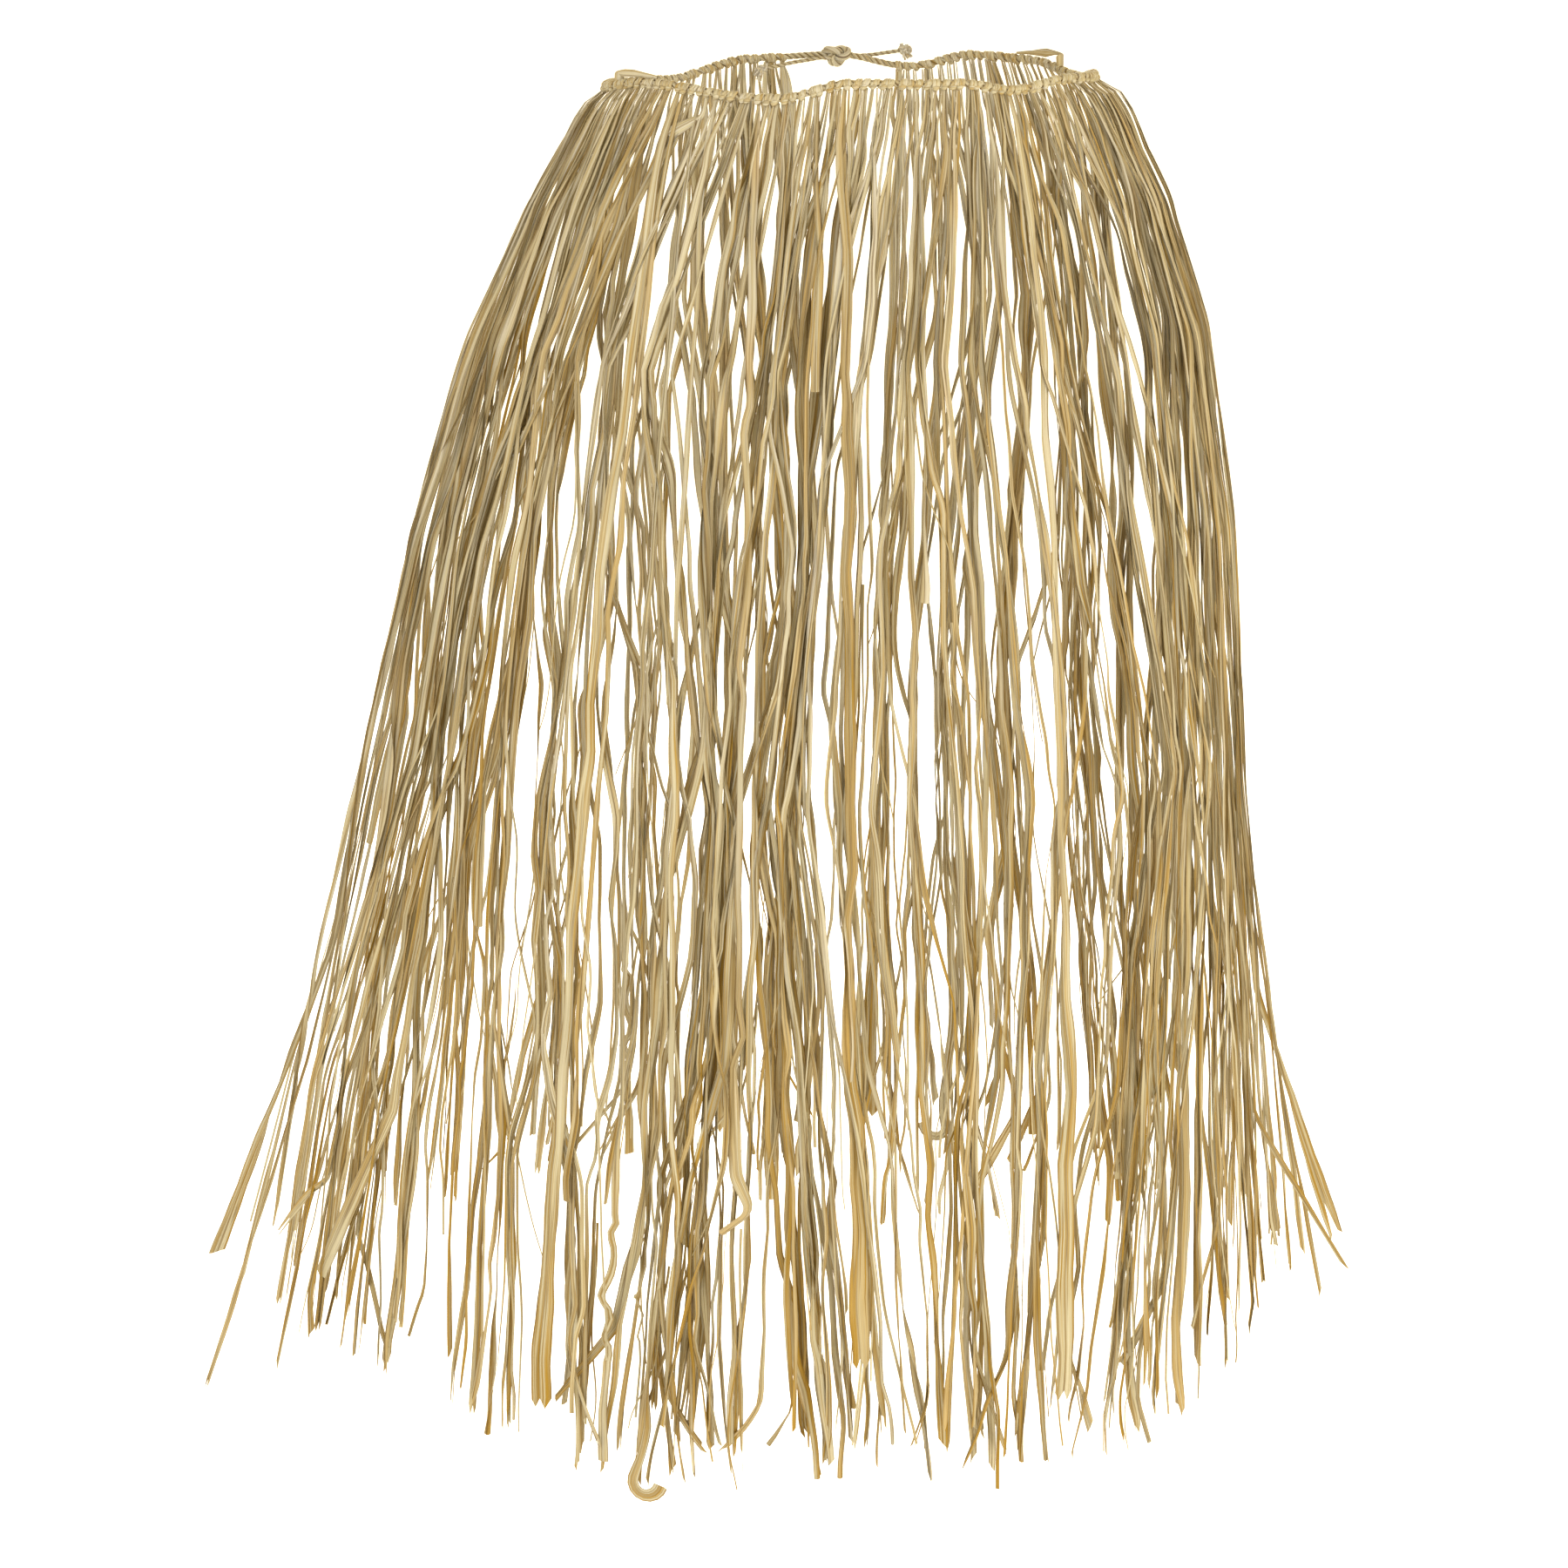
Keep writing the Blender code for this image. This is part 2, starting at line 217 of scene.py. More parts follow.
# Down the skirt: drop, pull of a strip to the middle of its clump, its own straying, whether clumps form anew
WANDER = (
    (0.036, 0.50, 0.0010, True), (0.090, 0.70, 0.0011, True), (0.160, 0.86, 0.0009, False),
    (0.250, 0.92, 0.0010, True), (0.345, 0.94, 0.0010, False), (0.440, 0.94, 0.0011, True),
    (0.540, 0.93, 0.0013, False), (0.640, 0.88, 0.0018, True), (0.860, 0.76, 0.0030, False),
)
HOLDS = (0.045, 0.110)
DRIFT = 0.009
SWING = 0.0014
STEEPEST = 0.26
CLUMP_DROPS = 0.028
STRIP_DROPS = 0.010
# turn in degrees, and how far the strips there stand aside at each of the drops, in tenths of a millimetre
LEAN_DROPS = (0.16, 0.42, 0.80)
LEANS = (
    (-180, 0, 0, 0), (-168, -222, -305, 43), (-156, -99, -205, -21), (-144, -151, -272, -230),
    (-132, 151, -215, -112), (-120, -217, -251, -225), (-108, -76, -298, -314), (-98, 59, -427, -198),
    (-90, 147, -499, -135), (-82, 157, 26, 37), (-74, 53, 569, -19), (-66, -78, -3, -76),
    (-59, 69, -196, -382), (-52, -439, -622, -212), (-45, -419, -330, -270), (-38, -450, -720, -471),
    (-32, -450, -584, -396), (-26, -450, -73, -421), (-20, -389, -347, -520), (-14, -162, -404, -603),
    (-8, -227, -416, -631), (-2, -219, -470, -370), (4, -205, -574, -35), (10, -275, -461, -178),
    (16, -260, -321, -122), (22, -163, -75, 130), (28, -114, 75, -122), (34, 83, 418, -22),
    (40, 5, 508, 129), (47, 197, 704, -94), (54, 169, 445, -269), (61, 110, 156, -550),
    (68, 133, -145, -585), (75, 88, 43, -579), (82, 27, 14, -440), (90, 80, 268, 400), (98, 15, -22, 335),
    (108, -113, 82, 494), (120, 147, 86, 13), (132, -110, -241, -708), (144, -219, -15, -324),
    (156, -166, 13, -137), (168, 2, 60, -68), (180, 0, 0, 0),
)
CLUMP_SIZES = (1, 2, 3, 5, 7, 9, 11)
CLUMP_ODDS = (0.06, 0.10, 0.15, 0.20, 0.21, 0.16, 0.12)
CLUMP_SHIFT = 0.0045
ALONE = 0.09
ALONE_STRAYING = 0.0060
# drop, reach of the layers in and out, and where their middle lies
LAYERS = (
    (0.000, 0.0000, -0.0012), (0.006, 0.0003, -0.0008), (0.020, 0.0011, 0.0000), (0.050, 0.0028, 0.0000),
    (0.160, 0.0062, 0.0000), (0.300, 0.0080, 0.0000), (0.800, 0.0100, 0.0000),
)
# drop, and how far the strips at the two sides stand out there before they fall
SHOULDER = ((0.0, 0.0), (0.004, 0.0008), (0.010, 0.0048), (0.022, 0.0044), (0.045, 0.0018), (0.090, 0.0))
SHOULDER_SIDES = (0.9, 1.3)
KINK_STEPS = (0.014, 0.052)
KINKS = ((0.0, 0.0002), (0.03, 0.0007), (0.3, 0.0012), (0.85, 0.0014))
# How many strips turn off sideways below the knee, where, and how steeply.
KICKED = 0.62
KICK_STARTS = (0.50, 0.75)
KICK_SLOPE = 0.085
# How many strips bend at the end, and the bend: from the end, its stop as a part of that, and its angle
BENT_ENDS = 0.16
BEND_STARTS = (0.015, 0.09)
BEND_STOPS = (0.6, 0.9)
BEND_ANGLES = (-0.8, 0.8)
# Twist in degrees: how unevenly it starts and wobbles, and how often it makes a half turn
TWIST_START = 18
TWIST_WOBBLE = 24
HALF_TURNS = 0.10
# How many strips lie flat all the way; and how often a fold is open, half open or closed, and its degrees
FLAT_STRIPS = 0.16
OPENINGS = ((0.27, 105, 172), (0.50, 40, 105), (1.00, 10, 36))
FOLD_PLACES = (0.42, 0.62)
TAPERED = 0.25
TAPERS = (0.35, 0.9)
TONE_SPREAD = 0.45
# Strips that reach away from the rest: place as bunch and part of it, start, outward, length, flat width
STRAYS = (
    (5.625, 0.455, 0.030, 0.810, 0.0044), (6.375, 0.560, 0.046, 0.783, 0.0085),
    (6.55, 0.500, 0.030, 0.800, 0.0042), (7.125, 0.620, 0.034, 0.842, 0.0042),
    (7.30, 0.500, 0.020, 0.812, 0.0040), (20.375, 0.655, 0.056, 0.753, 0.0042),
    (20.55, 0.500, 0.028, 0.790, 0.0036), (21.10, 0.590, 0.040, 0.768, 0.0088),
    (21.4, 0.500, 0.020, 0.800, 0.0044),
)
# Strips with a shape of their own: turn in degrees, shape, length, flat width, slope of a kick and its start
HEROES = (
    (-42.4, "wide", 0.785, 0.0125, 0.0, 0.0), (-0.7, "wide", 0.760, 0.0115, 0.05, 0.56),
    (-61.0, "flared", 0.745, 0.0110, -0.42, 0.625), (39.7, "wide", 0.790, 0.0110, -0.06, 0.60),
    (-150.5, "wide", 0.790, 0.0110, 0.05, 0.55), (172.8, "wide", 0.770, 0.0115, 0.0, 0.0),
    (-36.0, "curly", 0.812, 0.0052, 0.0, 0.0), (-134.2, "curly", 0.800, 0.0060, 0.0, 0.0),
    (-31.6, "hook", 0.850, 0.0070, -0.16, 0.790), (-22.3, "loop", 0.684, 0.0088, 0.0, 0.0),
    (-170.2, "leafy", 0.780, 0.0098, 0.0, 0.0), (-33.9, "flag", 0.036, 0.0095, 0.0, 0.0),
    (147.6, "hook", 0.800, 0.0070, 0.12, 0.70), (-6.7, "stub", 0.176, 0.0070, 0.0, 0.0),
    (14.7, "stub", 0.300, 0.0056, 0.0, 0.0), (-42.0, "stub", 0.655, 0.0070, 0.0, 0.0),
    (174.2, "stub", 0.330, 0.0060, 0.0, 0.0),
)
CURL_PITCH = 0.030
END = -1e-9
# What sets each shape apart: the fold's opening and the twist in degrees at drops, of which one below zero is
# counted up from the strip's end; and bends as where each starts and stops, from the end, and its angle.
SHAPES = {
    "stray": {
        "opening": ((0.0, 14), (0.10, 30), (-0.16, 30), (-0.07, 160), (0.9, 168)),
        "twist": ((0.0, 4), (0.3, 20), (-0.14, 50), (-0.05, 84), (0.9, 92)),
    },
    "wide": {
        "opening": ((0.0, 14), (0.10, 30), (-0.30, 60), (-0.16, 150), (0.9, 168)),
        "twist": ((0.0, 4), (0.3, 12), (-0.15, -6), (0.9, 8)),
        "cut": "ragged",
    },
    "flared": {
        "opening": ((0.0, 14), (0.1, 40), (-0.20, 40), (-0.13, 110), (-0.05, 160)),
        "twist": ((0.0, 4), (-0.16, 40), (-0.10, 8), (0.9, 12)),
    },
    "curly": {
        "opening": ((0.0, 14), (0.1, 40), (-0.21, 60), (-0.17, 150), (0.9, 168)),
        "twist": (
            *((0.0, 4), (-0.17, 0)),
            *((-0.155 + step * CURL_PITCH / 2, (-1) ** step * (24 + 8 * step)) for step in range(6)),
            *((-0.05, 20), (0.9, 12)),
        ),
        "curl": 0.0033,
        "crowding": 0.55,
        "tone": (0.3, 0.1, 0.2),
    },
    "hook": {
        "opening": ((0.0, 14), (0.1, 30), (-0.08, 30), (-0.05, 110), (END, 168)),
        "twist": ((0.0, 4), (0.3, 10), (-0.06, 64), (-0.030, 30), (-0.008, 8), (0.9, -30)),
        "bends": ((0.056, 0.042, -0.22), (0.031, 0.003, 3.1)),
        "crowding": 0.55,
    },
    "loop": {
        "opening": ((0.0, 14), (0.1, 30), (-0.12, 60), (-0.06, 160), (0.9, 168)),
        "twist": ((0.0, 4), (-0.09, 50), (-0.05, 10), (-0.022, -40), (0.9, 10)),
        "bends": ((0.050, 0.043, 0.36), (0.030, 0.018, -1.30)),
        "crowding": 0.55,
        "tone": (0.8, 0.95, 0.1),
    },
    "leafy": {
        "side": ((0.0, 0.0), (0.006, -0.001), (0.016, -0.0035), (0.06, -0.004), (0.12, 0.0), (0.9, 0.0)),
        "opening": ((0.0, 14), (0.004, 80), (0.012, 158), (0.11, 158), (0.16, 60), (0.9, 100)),
        "twist": ((0.0, 4), (0.012, 10), (0.9, 12)),
    },
    "flag": {
        "opening": ((0.0, 14), (0.008, 60), (0.014, 150), (0.9, 160)),
        "twist": ((0.0, 4), (0.9, 12)),
        "bends": ((0.030, 0.022, -1.05),),
        "layer": 0.9,
    },
    "stub": {"opening": ((0.0, 14), (0.05, 60), (-0.03, 120), (END, 150))},
}
CURL_REACH = (0.150, 0.062)
WHOLE_LENGTH = 0.7
SPLITS_EACH = 4
SPLIT_ROWS = 56
SPLIT_WIDTHS = (0.0009, 0.0026)
SPLIT_STARTS = (0.30, 0.66)
SPLIT_LENGTHS = (0.88, 1.03)
SPLIT_SLOPE = 0.055
SPLIT_BOW = 0.004
SPLIT_SWINGS = (-0.006, 0.010)
FIBRES_EACH = 3
FIBRE_ROWS = 22
FIBRE_WIDTH = 0.0016
FIBRE_STARTS = (0.15, 0.70)
FIBRE_LENGTHS = (0.06, 0.26)
FIBRE_REACH = 0.018
FIBRE_SWINGS = (-0.004, 0.012)
FIBRE_CURLS = (0.0, 0.004)
OFF_FOLD = 0.0045


def clear_lights():
    for obj in list(bpy.data.objects):
        if obj.type in ("LIGHT", "CAMERA"):
            bpy.data.objects.remove(obj)


def added(name, data, place=(0, 0, 0)):
    """A new object that shows its data in the scene."""
    obj = bpy.data.objects.new(name, data)
    obj.location = place
    bpy.context.scene.collection.objects.link(obj)
    return obj


# ---- The form ----


def columns(*values):
    """The values side by side along a last axis, where a single number serves every row."""
    return np.stack(np.broadcast_arrays(*values), axis=-1)


def ellipse(turn, half_width, half_depth):
    return columns(half_width * np.sin(turn), -half_depth * np.cos(turn), 0.0)


def unit(vectors):
    return vectors / np.linalg.norm(vectors, axis=-1, keepdims=True)


RING_TURNS = np.linspace(0, math.tau, RING_STEPS + 1)
RING_SIDES = np.linalg.norm(np.diff(ellipse(RING_TURNS, RING_HALF_WIDTH, RING_HALF_DEPTH), axis=0), axis=1)
PERIMETER = float(RING_SIDES.sum())
RING_SHARES = np.concatenate([[0], np.cumsum(RING_SIDES)]) / PERIMETER
KNOT_SHARE = 0.5 - KNOT_MIDDLE[0] / PERIMETER
HITCH_PITCH = (1 - BARE_CORD / PERIMETER) / HITCHES
FIRST_SHARE = KNOT_SHARE + BARE_CORD / PERIMETER / 2
FORM_TABLE = np.array(FORM)
LIFT_TABLE = np.array(RING_LIFT)


def hitch_share(hitch):
    """The share of a hitch's middle: they stand in twos and threes along the cord."""
    uneven = 0.24 * math.sin(hitch * 2.39) * (0.6 + 0.4 * math.sin(hitch * 0.71))
    return FIRST_SHARE + (hitch + 0.5 + uneven) * HITCH_PITCH


def turn_of(share):
    return np.interp(np.asarray(share) % 1, RING_SHARES, RING_TURNS)


def share_of(degrees):
    return float(np.interp(math.radians(degrees % 360), RING_TURNS, RING_SHARES))


def ring_lift(turn):
    """Height of the cord at a turn, easing from each row of the table to the next."""
    degrees = np.degrees(turn) % 360
    row = np.clip(np.searchsorted(LIFT_TABLE[:, 0], degrees, side="right") - 1, 0, len(LIFT_TABLE) - 2)
    start, low = LIFT_TABLE[row, 0], LIFT_TABLE[row, 1]
    end, high = LIFT_TABLE[row + 1, 0], LIFT_TABLE[row + 1, 1]
    return low + (high - low) * (1 - np.cos(np.pi * (degrees - start) / (end - start))) / 2


def read(rows, places):
    """A table of place and value read by straight lines."""
    return np.interp(places, *np.array(rows, float).T[:2])


def eased(rows, places, window):
    """The same, with the table's corners rounded over a window."""
    return np.mean([read(rows, places + shift * window) for shift in (-0.5, -0.25, 0, 0.25, 0.5)], axis=0)


def form_at(drop):
    return [eased(FORM_TABLE[:, (0, column)], drop, FORM_EASE) for column in (1, 2, 3)]


def girth_at(drop):
    half_width, half_depth, _ = form_at(drop)
    return math.tau * np.sqrt((half_width**2 + half_depth**2) / 2)


def outward(turn):
    return unit(ellipse(turn, 1 / RING_HALF_WIDTH, 1 / RING_HALF_DEPTH))


def ring_point(share):
    turn = turn_of(share)
    point = ellipse(turn, RING_HALF_WIDTH, RING_HALF_DEPTH)
    point[..., 2] += ring_lift(turn)
    return point


def fallen(share, drop):
    """Where a strip hitched at a share stands at a drop: straight below it, but spread at the two sides."""
    from_front = (share - KNOT_SHARE) % 1 - 0.5
    turn = turn_of(KNOT_SHARE + 0.5 + from_front * (1 + CLOSING * drop / HEM_DROP))
    half_width, _, lean = form_at(drop)
    aside = np.sin(turn)
    spread = (half_width - RING_HALF_WIDTH) * np.sign(aside) + lean
    place = (RING_HALF_WIDTH * aside + spread * np.abs(aside) ** STRAIGHT_FALL - lean) / half_width
    place = np.clip(place, -1, 1)
    turn = np.arctan2(place, np.sign(np.cos(turn)) * np.sqrt(1 - place**2))
    return np.interp(turn % math.tau, RING_TURNS, RING_SHARES)


def hang_points(share, drop, out):
    """Points of hanging strips on the form, each moved outward by out."""
    turn = turn_of(share)
    half_width, half_depth, lean = form_at(drop)
    points = ellipse(turn, half_width, half_depth)
    points[:, 0] += lean
    points[:, 2] += ring_lift(turn) - drop
    return points + outward(turn) * out[:, None]


# ---- A mesh that gathers many thin pieces ----


class Bundle:
    """Thin pieces joined as one mesh. Each keeps its place on the leaf, its tone and a column of the map."""

    MARGIN = 0.06

    def __init__(self):
        self.points, self.faces, self.places, self.tones, self.wears, self.maps = [], [], [], [], [], []
        self.rooms = []
        self.count = 0

    def add(self, points, faces, places, tone, wear, uvs, room=1.0, flip=False, cell=None):
        """uvs holds a pair for each corner of each face. A cell shares the column of the piece so many before
        it: its (left, bottom, width, height) there, and how many."""
        order = slice(None, None, -1) if flip else slice(None)
        for face, uv in zip(faces, uvs):
            face, uv = np.asarray(face), np.asarray(uv)
            self.faces.append((face[order] + self.count).tolist())
            self.maps.append((uv[order], len(self.points), cell))
        self.rooms.append(0.0 if cell and cell[4] else room)
        self.points.append(points)
        self.places.append(places)
        self.wears.append(wear)
        self.tones.append(np.tile(tone, (len(points), 1)))
        self.count += len(points)

    def uv_corners(self):
        """Lays the pieces side by side as columns of the unit square."""
        ends = np.cumsum(self.rooms) / sum(self.rooms)
        starts = ends - np.array(self.rooms) / sum(self.rooms)
        corners = []
        for uv, piece, cell in self.maps:
            if cell:
                piece -= cell[4]
                uv = np.array(cell[:2]) + uv * np.array(cell[2:4])
            inner = self.MARGIN + uv[:, 0] * (1 - 2 * self.MARGIN)
            across = starts[piece] + (ends[piece] - starts[piece]) * inner
            corners.append(columns(across, 0.005 + 0.99 * uv[:, 1]))
        return np.concatenate(corners)

    def build(self, name, material, node):
        """Makes the piece that stands for a node. Its material is named for its slot."""
        mesh = bpy.data.meshes.new(name)
        mesh.from_pydata(np.concatenate(self.points).tolist(), [], self.faces)
        # The third attribute holds each point's nearness to an edge and its painted shade.
        for key, rows in (("leaf_place", self.places), ("leaf_tone", self.tones), ("leaf_edge_and_shade", self.wears)):
            layer = mesh.attributes.new(key, "FLOAT_VECTOR", "POINT")
            layer.data.foreach_set("vector", np.concatenate(rows).astype(np.float32).ravel())
        uv_map = mesh.uv_layers.new(name="OFBake")
        uv_map.data.foreach_set("uv", self.uv_corners().astype(np.float32).ravel())
        mesh.materials.append(material)
        obj = added(name, mesh)
        bpy.ops.object.select_all(action="DESELECT")
        obj.select_set(True)
        bpy.context.view_layer.objects.active = obj
        bpy.ops.object.shade_smooth_by_angle(angle=SMOOTH_ANGLE)
        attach(obj, "root")
        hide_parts(node)
        return obj


def leaf_blank(rows, wide, cut):
    """A unit strip as a closed lens: (across, along, side) of each point, its faces and their map corners."""
    across = np.linspace(-0.5, 0.5, wide + 1)
    along = np.linspace(0, 1, rows + 1)
    shorter = np.interp(across, np.linspace(-0.5, 0.5, len(cut)), cut)
    ramp = np.clip((along - 0.88) / 0.12, 0, 1) ** 2
    grid_along = along[:, None] - ramp[:, None] * shorter
    front = np.arange((rows + 1) * (wide + 1)).reshape(rows + 1, wide + 1)
    back = front.copy()
    back[1:-1, 1:-1] = front.size + np.arange((rows - 1) * (wide - 1)).reshape(rows - 1, wide - 1)
    side = np.zeros_like(front, float)
    side[1:-1, 1:-1] = 1
    over = columns(across, grid_along, side).reshape(-1, 3)
    under = columns(across, grid_along, -1.0)[1:-1, 1:-1].reshape(-1, 3)
    points = np.concatenate([over, under])

    def quads(index):
        corners = columns(index[:-1, :-1], index[:-1, 1:], index[1:, 1:], index[1:, :-1])
        return corners.reshape(-1, 4)

    front_uv = columns((across + 0.5) / 2, grid_along).reshape(-1, 2)
    back_uv = front_uv * (-1, 1) + (1, 0)
    faces = np.concatenate([quads(front), quads(back)[:, ::-1]])
    uvs = np.concatenate([front_uv[quads(front)], back_uv[quads(front)][:, ::-1]])
    return points, faces, uvs


CUTS = {
    "square": (0.0, 0.0, 0.001, 0.0, 0.001),
    "nearly_square": (0.002, 0.001, 0.0, 0.0, 0.001),
    "slant": (0.0, 0.002, 0.004, 0.006, 0.008),
    "slant_back": (0.007, 0.005, 0.003, 0.001, 0.0),
    "split": (0.0, 0.004, 0.030, 0.006, 0.003),
    "ragged": (0.006, 0.001, 0.008, 0.001, 0.009),
}
BLANKS = {cut: leaf_blank(STRIP_ROWS, 4, shape) for cut, shape in CUTS.items()}


def folded_section(across, opening, twist, width, split, thick, side):
    """A strip folded lengthwise: the two numbers of each point in the plane across its path.

    One half lies at the twist, the other is opened from it by the opening, which is pi when the leaf is flat.
    """

    def heading(angle):
        return columns(np.cos(angle), np.sin(angle))

    opened = twist + opening
    reach = width * 2 * np.abs(across) * np.where(across >= 0, split, 1 - split)
    points = heading(np.where(across >= 0, twist, opened)) * reach[:, None]
    middle = heading(twist) * (width * split**2 / 2)[:, None]
    middle += heading(opened) * (width * (1 - split) ** 2 / 2)[:, None]
    normal = np.where((across > 0.01)[:, None], heading(twist + math.pi / 2), heading(opened - math.pi / 2))
    mitre = 1 / np.clip(np.sin(opening / 2), 0.45, 1)
    at_fold = (np.abs(across) < 0.01)[:, None]
    normal = np.where(at_fold, heading(twist + opening / 2) * mitre[:, None], normal)
    cup = LEAF_CUP * reach * np.sin(np.pi * np.clip(2 * np.abs(across), 0, 1))
    return points - middle + normal * (side * thick / 2 + cup)[:, None]


def path_frame(points, out):
    """Unit vectors along a path, across it and outward from it."""
    forward = unit(np.gradient(points, axis=0))
    outward_ = unit(out - forward * (out * forward).sum(axis=1, keepdims=True))
    return np.cross(outward_, forward), outward_


class Strip:
    """One strip of leaf: where it is hitched, how wide and long it is, and how it wanders on its way down."""

    def __init__(self, hitch, leg, legs, luck):
        self.hitch = hitch
        self.share = hitch_share(hitch)
        width = luck.lognormvariate(math.log(FLAT_WIDTH), FLAT_SPREAD)
        self.width = min(max(width, FLAT_LIMITS[0]), FLAT_LIMITS[1])
        _, shortest, longest = luck.choices(LENGTHS, [row[0] for row in LENGTHS])[0]
        reach = float(read(HEM, math.degrees(turn_of(self.share))))
        self.length = HEM_DROP * reach * luck.uniform(shortest, longest)
        behind = max(0.0, -math.cos(turn_of(self.share)))
        self.length *= 1 + BACK_RAGGED * behind * math.sin(RAGGED_STEPS[0] * hitch + RAGGED_STEPS[1] * leg)
        self.start = STRIP_START
        place = (leg - (legs - 1) / 2) * LEG_SPACING + luck.gauss(0, LEG_UNEVEN)
        self.side = [(0.0, place), (0.010, place * 1.1), (0.030, place * 2.6 + luck.gauss(0, 0.0006))]
        self.drift = luck.gauss(0, DRIFT)
        self.alone = luck.random() < ALONE
        self.layer = luck.uniform(-1, 1)
        self.cut = luck.choice(list(CUTS))
        self.taper = luck.uniform(*TAPERS) if luck.random() < TAPERED else 1.0
        self.mirror = luck.choice((-1, 1))
        self.flip = luck.choice((-1, 1))
        self.split = luck.uniform(*FOLD_PLACES)
        self.tone = (luck.gauss(0, TONE_SPREAD), luck.random(), luck.random())
        self.number = luck.random()
        self.twist = self.twist_rows(luck)
        self.opening = self.opening_rows(luck)
        self.swing = [(0.0, 0.0)] + [(row[0], luck.gauss(0, SWING)) for row in WANDER]
        self.kinks = self.kink_rows(luck)
        self.kick = (0.6, 0.0)
        if luck.random() < KICKED:
            self.kick = (luck.uniform(*KICK_STARTS), luck.gauss(0, KICK_SLOPE))
        self.bends = ()
        if luck.random() < BENT_ENDS:
            start = luck.uniform(*BEND_STARTS)
            self.bends = ((start, start * luck.uniform(*BEND_STOPS), luck.uniform(*BEND_ANGLES)),)
        self.curl = 0.0
        self.crowding = 0.0
        self.leans = 1.0
        self.stray = (0.455, 0.0)

    def kink_rows(self, luck):
        """Small sharp steps aside, as dry leaf has where it was once creased."""
        rows, drop = [(0.0, 0.0)], 0.02
        while drop < 0.95:
            rows.append((drop, luck.gauss(0, float(read(KINKS, drop)))))
            drop += luck.uniform(*KINK_STEPS)
        return rows

    def twist_rows(self, luck):
        """Twist in degrees down the strip, with a half turn here and there."""
        base = luck.gauss(0, TWIST_START)
        rows, drop = [(0.0, base * 0.3), (0.02, base * 0.6)], 0.05
        while drop < 0.95:
            if drop > 0.10 and luck.random() < HALF_TURNS:
                base += luck.choice((-180, 180))
                drop += luck.uniform(0.02, 0.06)
            rows.append((drop, base + luck.gauss(0, TWIST_WOBBLE)))
            drop += luck.uniform(0.03, 0.10)
        return rows

    def opening_rows(self, luck):
        """Opening of the fold in degrees: gathered under the cord, and here and there flat lower down."""
        flat = luck.random() < FLAT_STRIPS
        rows, drop = [(0.0, 14), (0.016, luck.uniform(14, 60)), (0.04, luck.uniform(20, 110))], 0.07
        while drop < 0.95:
            kind = luck.random()
            _, least, most = next(row for row in OPENINGS if flat or kind < row[0])
            rows.append((drop, luck.uniform(least, most)))
            drop += luck.uniform(0.025, 0.10)
        return rows


def plan_strips():
    luck = random.Random(17)
    strips = []
    for hitch in range(HITCHES):
        legs = 3 if luck.random() < EXTRA_LEG else 2
        strips += [Strip(hitch, leg, legs, luck) for leg in range(legs)]
    wander(strips, luck)
    set_apart(strips)
    return strips


def set_apart(strips):
    """Gives the strays and the strips with a shape of their own their places."""
    left = list(strips)

    def shaped(share, shape, length, width, kick):
        strip = min(left, key=lambda strip: abs((strip.share - share + 0.5) % 1 - 0.5))
        left.remove(strip)
        strip.bends, strip.taper, strip.leans = (), 1.0, 0.0
        strip.length, strip.width, strip.kick = length, width, kick
        if shape != "stray":
            strip.layer, strip.cut = 0.95, "nearly_square"
            strip.side = strip.side[:3] + [(0.12, 0.0), (0.9, 0.0)]
        for key, value in SHAPES[shape].items():
            if key in ("opening", "twist"):
                value = [(drop if drop >= 0 else length + drop, turned) for drop, turned in value]
            setattr(strip, key, value)
        return strip

    for place, start, reach, length, width in STRAYS:
        share = FIRST_SHARE + place * HITCHES_EACH * HITCH_PITCH
        strip = shaped(share, "stray", length, width, (0.6, 0.0))
        strip.stray = (start, reach)
        strip.taper = 0.65 if width < 0.005 else 1.0
    for degrees, shape, length, width, slope, start in HEROES:
        shaped(share_of(degrees), shape, length, width, (start, slope))


def wander(strips, luck):
    """Pulls strips together into clumps that change on the way down, so that gaps open and close."""
    clumps = []
    for drop, pull, straying, anew in WANDER:
        girth = float(girth_at(drop))
        seam = fallen(KNOT_SHARE, drop)
        from_knot = {id(strip): float((fallen(strip.share, drop) - seam) % 1) for strip in strips}
        if anew:
            places = [from_knot[id(s)] + (s.side[-1][1] + luck.gauss(0, 0.003)) / girth for s in strips]
            order = [strips[k] for k in np.argsort(places, kind="stable")]
            clumps = []
            while order:
                size = luck.choices(CLUMP_SIZES, CLUMP_ODDS)[0]
                clumps.append((order[:size], luck.gauss(0, CLUMP_SHIFT)))
                order = order[size:]
        for members, shift in clumps:
            middle = sum(from_knot[id(s)] * girth + s.drift * drop / HEM_DROP for s in members) / len(members)
            clump_at = drop + luck.uniform(-CLUMP_DROPS, CLUMP_DROPS) * min(1, drop / 0.2)
            for strip in members:
                home = from_knot[id(strip)] * girth
                lean = strip.drift * drop / HEM_DROP
                side = lean + (middle + shift * pull - home - lean) * pull + luck.gauss(0, straying)
                if strip.alone and not anew:
                    continue
                if strip.alone:
                    side = lean + luck.gauss(0, ALONE_STRAYING) * min(1, drop / 0.3)
                at = max(clump_at + luck.uniform(-STRIP_DROPS, STRIP_DROPS), strip.side[-1][0] + 0.006)
                hold = at - luck.uniform(*HOLDS)
                room = STEEPEST * (at - max(hold, strip.side[-1][0]))
                side = strip.side[-1][1] + min(max(side - strip.side[-1][1], -room), room)
                if hold > strip.side[-1][0] + 0.004:
                    strip.side.append((hold, strip.side[-1][1] * 0.9 + side * 0.1))
                strip.side.append((at, side))


